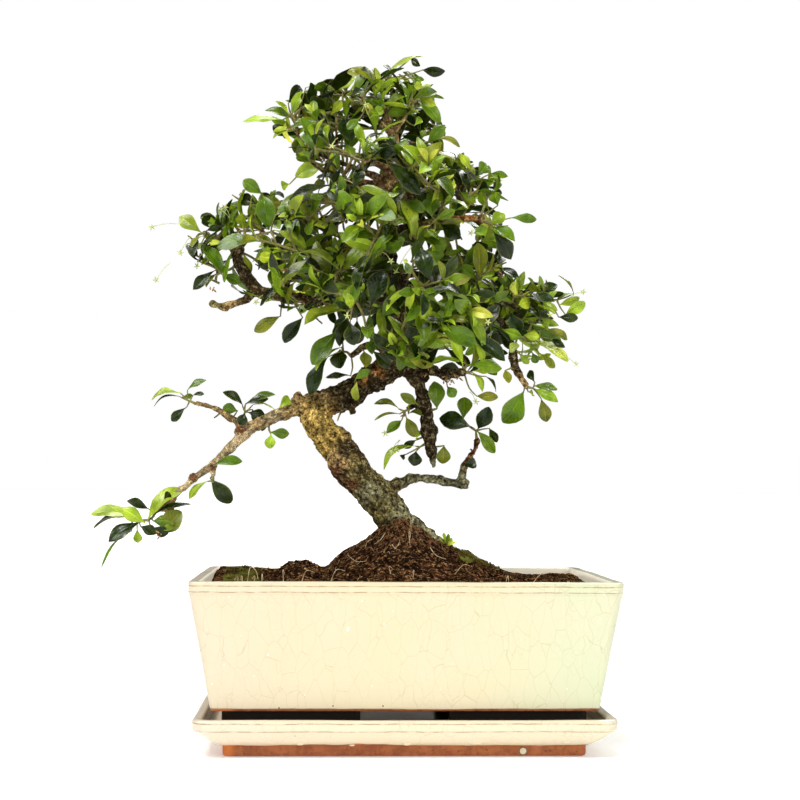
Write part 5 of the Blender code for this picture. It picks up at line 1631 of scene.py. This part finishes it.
def towards_viewer(base, along, seen_width, width):
    """Normal of a leaf that shows a width of its blade to the photo's camera."""
    back = (VIEW_POSITION - base).normalized()
    facing = (back - along * back.dot(along)).normalized()
    sideways = along.cross(facing)
    roll = math.acos(min(1.0, seen_width / width))
    normal = max((facing * math.cos(roll) + sideways * math.sin(roll) * sign for sign in (-1, 1)),
                 key=lambda choice: choice.z)
    return -normal if normal.z < -0.35 else normal


def spray(foliage, centre, growth, dice):
    """Leaves up a short spur: small bright ones at its tip, large dark ones lower down."""
    count, longest = dice.randint(6, 9), dice.uniform(0.021, 0.031)
    across = growth.orthogonal().normalized()
    turn = dice.uniform(0, math.tau)
    run = dice.uniform(0.005, 0.011)
    bright = dice.random() < BRIGHT_SPRAYS
    grown = False
    for index in range(count):
        turn += GOLDEN_ANGLE + dice.uniform(-0.4, 0.4)
        part = index / (count - 1)
        outward = Matrix.Rotation(turn, 3, growth) @ across
        slant = math.radians(24 + 52 * part + dice.uniform(-16, 16))
        direction = growth * math.cos(slant) + outward * math.sin(slant) + up(dice.uniform(-0.15, 0.30))
        length = longest * (0.45 + 0.55 * part ** 0.6) * dice.uniform(0.75, 1.1)
        base = centre + growth * run * (0.5 - part) + outward * 0.0003
        tip = base + direction.normalized() * length
        if not leaf_allowed(base, tip):
            continue
        normal = growth * math.sin(slant) - outward * math.cos(slant) + random_vector(dice, 0.45)
        tones = ("yllbb" if part < 0.35 else "lbmmd") if bright else ("lbm" if part < 0.2 else "mmoddggd")
        foliage.leaf(base, tip, normal, length * dice.uniform(0.28, 0.42), LEAF_TONES[dice.choice(tones)],
                     dice, dice.uniform(0.03, 0.12), dice.uniform(0.0, 0.30), "plain")
        grown = True
    if grown:
        foliage.stalk([(centre - growth * run * 0.55, 0.0008), (centre, 0.0007),
                       (centre + growth * run * 0.52, 0.0004)])
    return grown


def nearest_joint(route, wood, target):
    """The nearest point of a stem or of the wood."""
    choices = [wood.find_nearest(target)[0]]
    for (start, _), (end, _) in zip(route, route[1:]):
        span = end - start
        choices.append(start + span * limited((target - start).dot(span) / max(span.length_squared, 1e-12)))
    return min(choices, key=lambda point: (point - target).length)


def grow_photo_leaf(foliage, route, wood, depth, leaf, dice):
    """A leaf that the photo shows, at its place there, and the stalk that joins it to its stem."""
    base_column, base_row, tip_column, tip_row, seen_width, letter = leaf
    base_depth = depth + dice.uniform(-2.0, 2.0)
    base = spot(base_column, base_row, base_depth)
    tip = spot(tip_column, tip_row, base_depth + dice.uniform(-7.0, 6.0))
    seen = seen_width * (base_depth * MM - VIEW_POSITION.y) / VIEW_FOCAL * 1.12
    width = max(seen, (tip - base).length * dice.uniform(0.38, 0.48)) if seen_width > 4 else 2 * seen
    along = (tip - base).normalized()
    arch = dice.uniform(0.06, 0.12) if seen_width > 6 else dice.uniform(0.10, 0.16)
    foliage.leaf(base, tip, towards_viewer(base, along, seen, width), width, LEAF_TONES[letter],
                 dice, arch, dice.uniform(0.0, 0.30))
    join = nearest_joint(route, wood, base)
    gap = (join - base).length
    if gap > 0.0006:
        bend = join.lerp(base, 0.5) + noise.noise_vector(base * 300.0) * gap * 0.12
        foliage.stalk(smooth_route([(join, 0.00062), (bend, 0.00052), (base + along * 0.0004, 0.00036)], 3))


def grow_spray(foliage, route, wood, back, dice):
    """A spray of filler leaves near the end of a stem, where it keeps inside the crown."""
    end = route[-1][0]
    for _ in range(14):
        spread = Vector((dice.gauss(0, 0.011), dice.gauss(0.003, 0.009), dice.gauss(0, 0.011)))
        centre = end + spread
        if back:
            inner = Vector((end.x * 0.75, 0.012, end.z - 0.004))
            centre = end.lerp(inner, 0.85 * dice.random() ** 1.3) + spread
        if leaf_allowed(centre, centre):
            break
    else:
        return
    growth = ((centre - spot(*CROWN_MIDDLE)).normalized() + up(0.55) + random_vector(dice, 0.5)).normalized()
    if not back:
        growth = (growth + Vector((0, -0.25, 0))).normalized()
    if spray(foliage, centre, growth, dice):
        join = nearest_joint(route, wood, centre)
        bend = join.lerp(centre, 0.5) + random_vector(dice, 0.0012)
        foliage.stalk(smooth_route([(join, 0.0009), (bend, 0.0008), (centre - growth * 0.002, 0.0007)], 4))


def make_shoot(number, stars, bits, wood, materials):
    name, stem, whorls, leaves = SHOOTS[number]
    dice = random.Random(700 + number)
    foliage = Foliage()
    ends = [spot(*point) for point in stem]
    foot, normal, _, _ = wood.find_nearest(ends[0])
    lift = foot + normal * min(0.003, (ends[0] - foot).length * 0.4)
    places = [foot - normal * 0.0006, lift, *ends]
    radii = [0.0011 - 0.0005 * k / (len(places) - 1) for k in range(len(places))]
    route = smooth_route(list(zip(places, radii)), 5)
    foliage.stalk(route)
    depth = stem[-1][2]
    for leaf in leaves:
        grow_photo_leaf(foliage, route, wood, depth, leaf, dice)
    for _ in range(round(whorls * SPRAYS_PER_WHORL)):
        grow_spray(foliage, route, wood, name.startswith("back"), dice)
    for column, row, foot_column, foot_row in stars:
        foliage.star(spot(column, row, depth - 5), spot(foot_column, foot_row, depth - 2), dice)
    for column, row in bits:
        foliage.dry_bit(spot(column, row, depth - 4), dice)
    return foliage.piece("leaves_" + name, ("shoot_" + name,), materials)


def nearest_shoot(column, row):
    """Number of the shoot in front of the wood whose end is seen nearest to a place."""
    return min((k for k, shoot in enumerate(SHOOTS) if not shoot[0].startswith("back")),
               key=lambda k: math.hypot(SHOOTS[k][1][-1][0] - column, SHOOTS[k][1][-1][1] - row))


def make_shoots(wood, materials):
    for number in range(len(SHOOTS)):
        stars = [star for star in STARS if nearest_shoot(*star[2:]) == number]
        bits = [bit for bit in DRY_BITS if nearest_shoot(*bit) == number]
        make_shoot(number, stars, bits, wood, materials)


def make_sprig(wood, materials):
    """A small green weed at the foot of the surface root."""
    dice = random.Random(91)
    foliage = Foliage()
    foot, _ = looked_at(wood, 446, 547)
    for reach, rise, near, letter in ((-3.2, 5.4, -2, "y"), (-1.2, 7.2, 1, "l"), (1.0, 6.6, -3, "b"),
                                      (3.0, 4.6, 0, "l"), (4.6, 2.4, -3, "y"), (-4.4, 2.6, 1, "b"),
                                      (0.4, 4.2, 4, "l"), (2.2, 2.6, -5, "y")):
        tip = foot + Vector((reach, near, rise)) * 1.3 * MM
        base = foot.lerp(tip, 0.30)
        foliage.stalk([(foot - up(0.0008), 0.0003), (base, 0.00022)], 5)
        foliage.leaf(base, tip, Vector((dice.uniform(-0.5, 0.5), -1.0, 0.5)), dice.uniform(1.9, 2.9) * MM,
                     LEAF_TONES[letter], dice, 0.08, 0.1, "plain")
    return foliage.piece("green_sprig", (), materials)


def make_camera():
    data = bpy.data.cameras.new("camera")
    data.sensor_fit = "HORIZONTAL"
    data.sensor_width = SENSOR
    data.lens = VIEW_FOCAL / VIEW_SIDE * SENSOR
    data.clip_start = 0.05
    camera = linked("camera", data)
    camera.matrix_world = Matrix.Translation(VIEW_POSITION) @ (
        VIEW_AIM @ Matrix.Rotation(math.pi / 2, 3, "X")).to_4x4()
    bpy.context.scene.camera = camera


def make_sun(name, place, angle, strength, colour=(1.0, 1.0, 1.0), shine_only=False):
    """Soft parallel light from the side of a place: the wider its angle, the softer its shadows."""
    data = bpy.data.lights.new(name, "SUN")
    data.angle = math.radians(angle)
    data.energy = strength
    data.color = colour
    light = linked(name, data)
    light.location = place
    light.visible_diffuse = not shine_only
    light.rotation_euler = (-Vector(place)).to_track_quat("-Z", "Y").to_euler()


def make_stage():
    shape = Shape()
    shape.add([(-30, -30, 0), (30, -30, 0), (30, 30, 0), (-30, 30, 0)], [(0, 1, 2, 3)])
    mesh = shape.mesh()
    pale = grained_material("pale_floor", (0.93, 0.93, 0.93, 1), (0.95, 0.95, 0.95, 1), 0.9, (4.0, 2.0), None,
                            None, Specular_IOR_Level=0.1, Emission_Color=(1, 1, 1, 1), Emission_Strength=0.32)
    mesh.materials.append(pale)
    floor = linked("studio_floor", mesh)
    floor.location.z = -0.0002
    world = bpy.data.worlds.new("studio")
    bpy.context.scene.world = world
    world.use_nodes = True
    tree = world.node_tree
    soft, backdrop = tree.nodes["Background"], tree.nodes.new("ShaderNodeBackground")
    for light, strength in ((soft, 0.20), (backdrop, 1.0)):
        light.inputs["Color"].default_value = (1.0, 1.0, 1.0, 1.0)
        light.inputs["Strength"].default_value = strength
    path, choice = tree.nodes.new("ShaderNodeLightPath"), tree.nodes.new("ShaderNodeMixShader")
    tree.links.new(path.outputs["Is Camera Ray"], choice.inputs[0])
    tree.links.new(soft.outputs[0], choice.inputs[1])
    tree.links.new(backdrop.outputs[0], choice.inputs[2])
    tree.links.new(choice.outputs[0], tree.nodes["World Output"].inputs["Surface"])
    make_sun("key", (-0.45, -1.0, 1.45), 17.0, 2.65, (1.0, 0.985, 0.955))
    make_sun("fill", (1.0, -1.3, 0.55), 20.0, 0.8)
    make_sun("top", (0.2, 0.7, 1.6), 40.0, 0.9)
    make_sun("shine_left", (-1.1, -0.1, 1.3), 40.0, 3.6, shine_only=True)
    make_sun("shine_back", (0.5, 1.2, 1.5), 40.0, 3.6, shine_only=True)
    bpy.context.scene.view_settings.view_transform = "Standard"


def build():
    make_camera()
    make_stage()
    speck = grained_material("iron_speck", srgb(70, 44, 26), srgb(128, 92, 56), 0.3, (900.0,), None, None)
    pale = srgb(226, 212, 190), srgb(226, 213, 184), srgb(222, 213, 186)
    creams = srgb(223, 208, 181), srgb(222, 210, 175), srgb(207, 213, 178)
    inner = (srgb(246, 238, 216),) * 3
    make_saucer(glaze_material("saucer_glaze", 0.0069, 0.0013, (0.0217, 0.0171), -0.003, -0.001, pale), speck,
                glaze_material("glaze_drip", -0.01, 0.0, (), -0.003, -0.001, pale))
    make_pot(glaze_material("pot_glaze", 0.0290, 0.0004, (0.1027, 0.0992), 0.0272, 0.0280, creams), speck,
             glaze_material("pot_inner_glaze_painted_light", -0.01, 0.0, (), -0.003, -0.001, inner, 0.32))
    soil = make_soil(soil_material())
    ground = solid_tree(soil.data)
    moss = moss_material()
    make_moss("moss_left_cushion", "moss_left", (-0.103, 0.002), (0.013, 0.062), 2600, ground, moss, 21)
    make_moss("moss_right_cushion", "moss_right", (0.047, -0.004), (0.015, 0.026), 1300, ground, moss, 22)
    make_fibres(ground, (fibre_material("dry_root_fibre", srgb(160, 130, 92), srgb(230, 208, 168)),
                         fibre_material("red_root_fibre", srgb(24, 13, 7), srgb(160, 118, 80))))
    make_debris(ground, (fibre_material("dark_bark_chip", srgb(52, 34, 22), srgb(104, 68, 42)),
                         fibre_material("tan_bark_chip", srgb(150, 108, 66), srgb(212, 172, 122)),
                         fibre_material("grey_clod", srgb(70, 56, 44), srgb(124, 102, 80))))
    bark = bark_material()
    routes = [wood_route(TRUNK, 5)] + [wood_route(route, 5) for route in (SURFACE_ROOT, *ROOTS, *LIMBS)]
    tree = make_tree(bark, routes)
    make_twigs(bark)
    wood = solid_tree(tree.data)
    plastic = grained_material("drain_mesh_plastic", srgb(34, 36, 34), srgb(52, 54, 52), 0.55, (800.0,),
                               None, (800.0, 0.3, 0.0002))
    for side in ("left", "right"):
        node = frame["nodes"]["drain_mesh_" + side]
        node.data.materials.clear()
        node.data.materials.append(plastic)
    looks = (
        leaf_material("leaf_top", (0.98, 0.94, 0.8, 1.0), 0.24, 0.34, 0.26),
        leaf_material("leaf_underside", (1.6, 1.45, 1.5, 1.0), 0.52, 0.45, 0.10),
        *(grained_material(name, srgb(*dark), srgb(*light), rough, (420.0, 4.0, 0.65), (0.32, 0.68),
                           (1200.0, 0.4, 0.0003))
          for name, dark, light, rough in (("young_stem", (92, 84, 36), (138, 132, 60), 0.6),
                                           ("seed_star", (176, 190, 96), (214, 220, 150), 0.55),
                                           ("dry_bit", (116, 82, 44), (188, 146, 90), 0.85))),
    )
    make_sprig(wood, looks)
    make_shoots(wood, looks)


build()
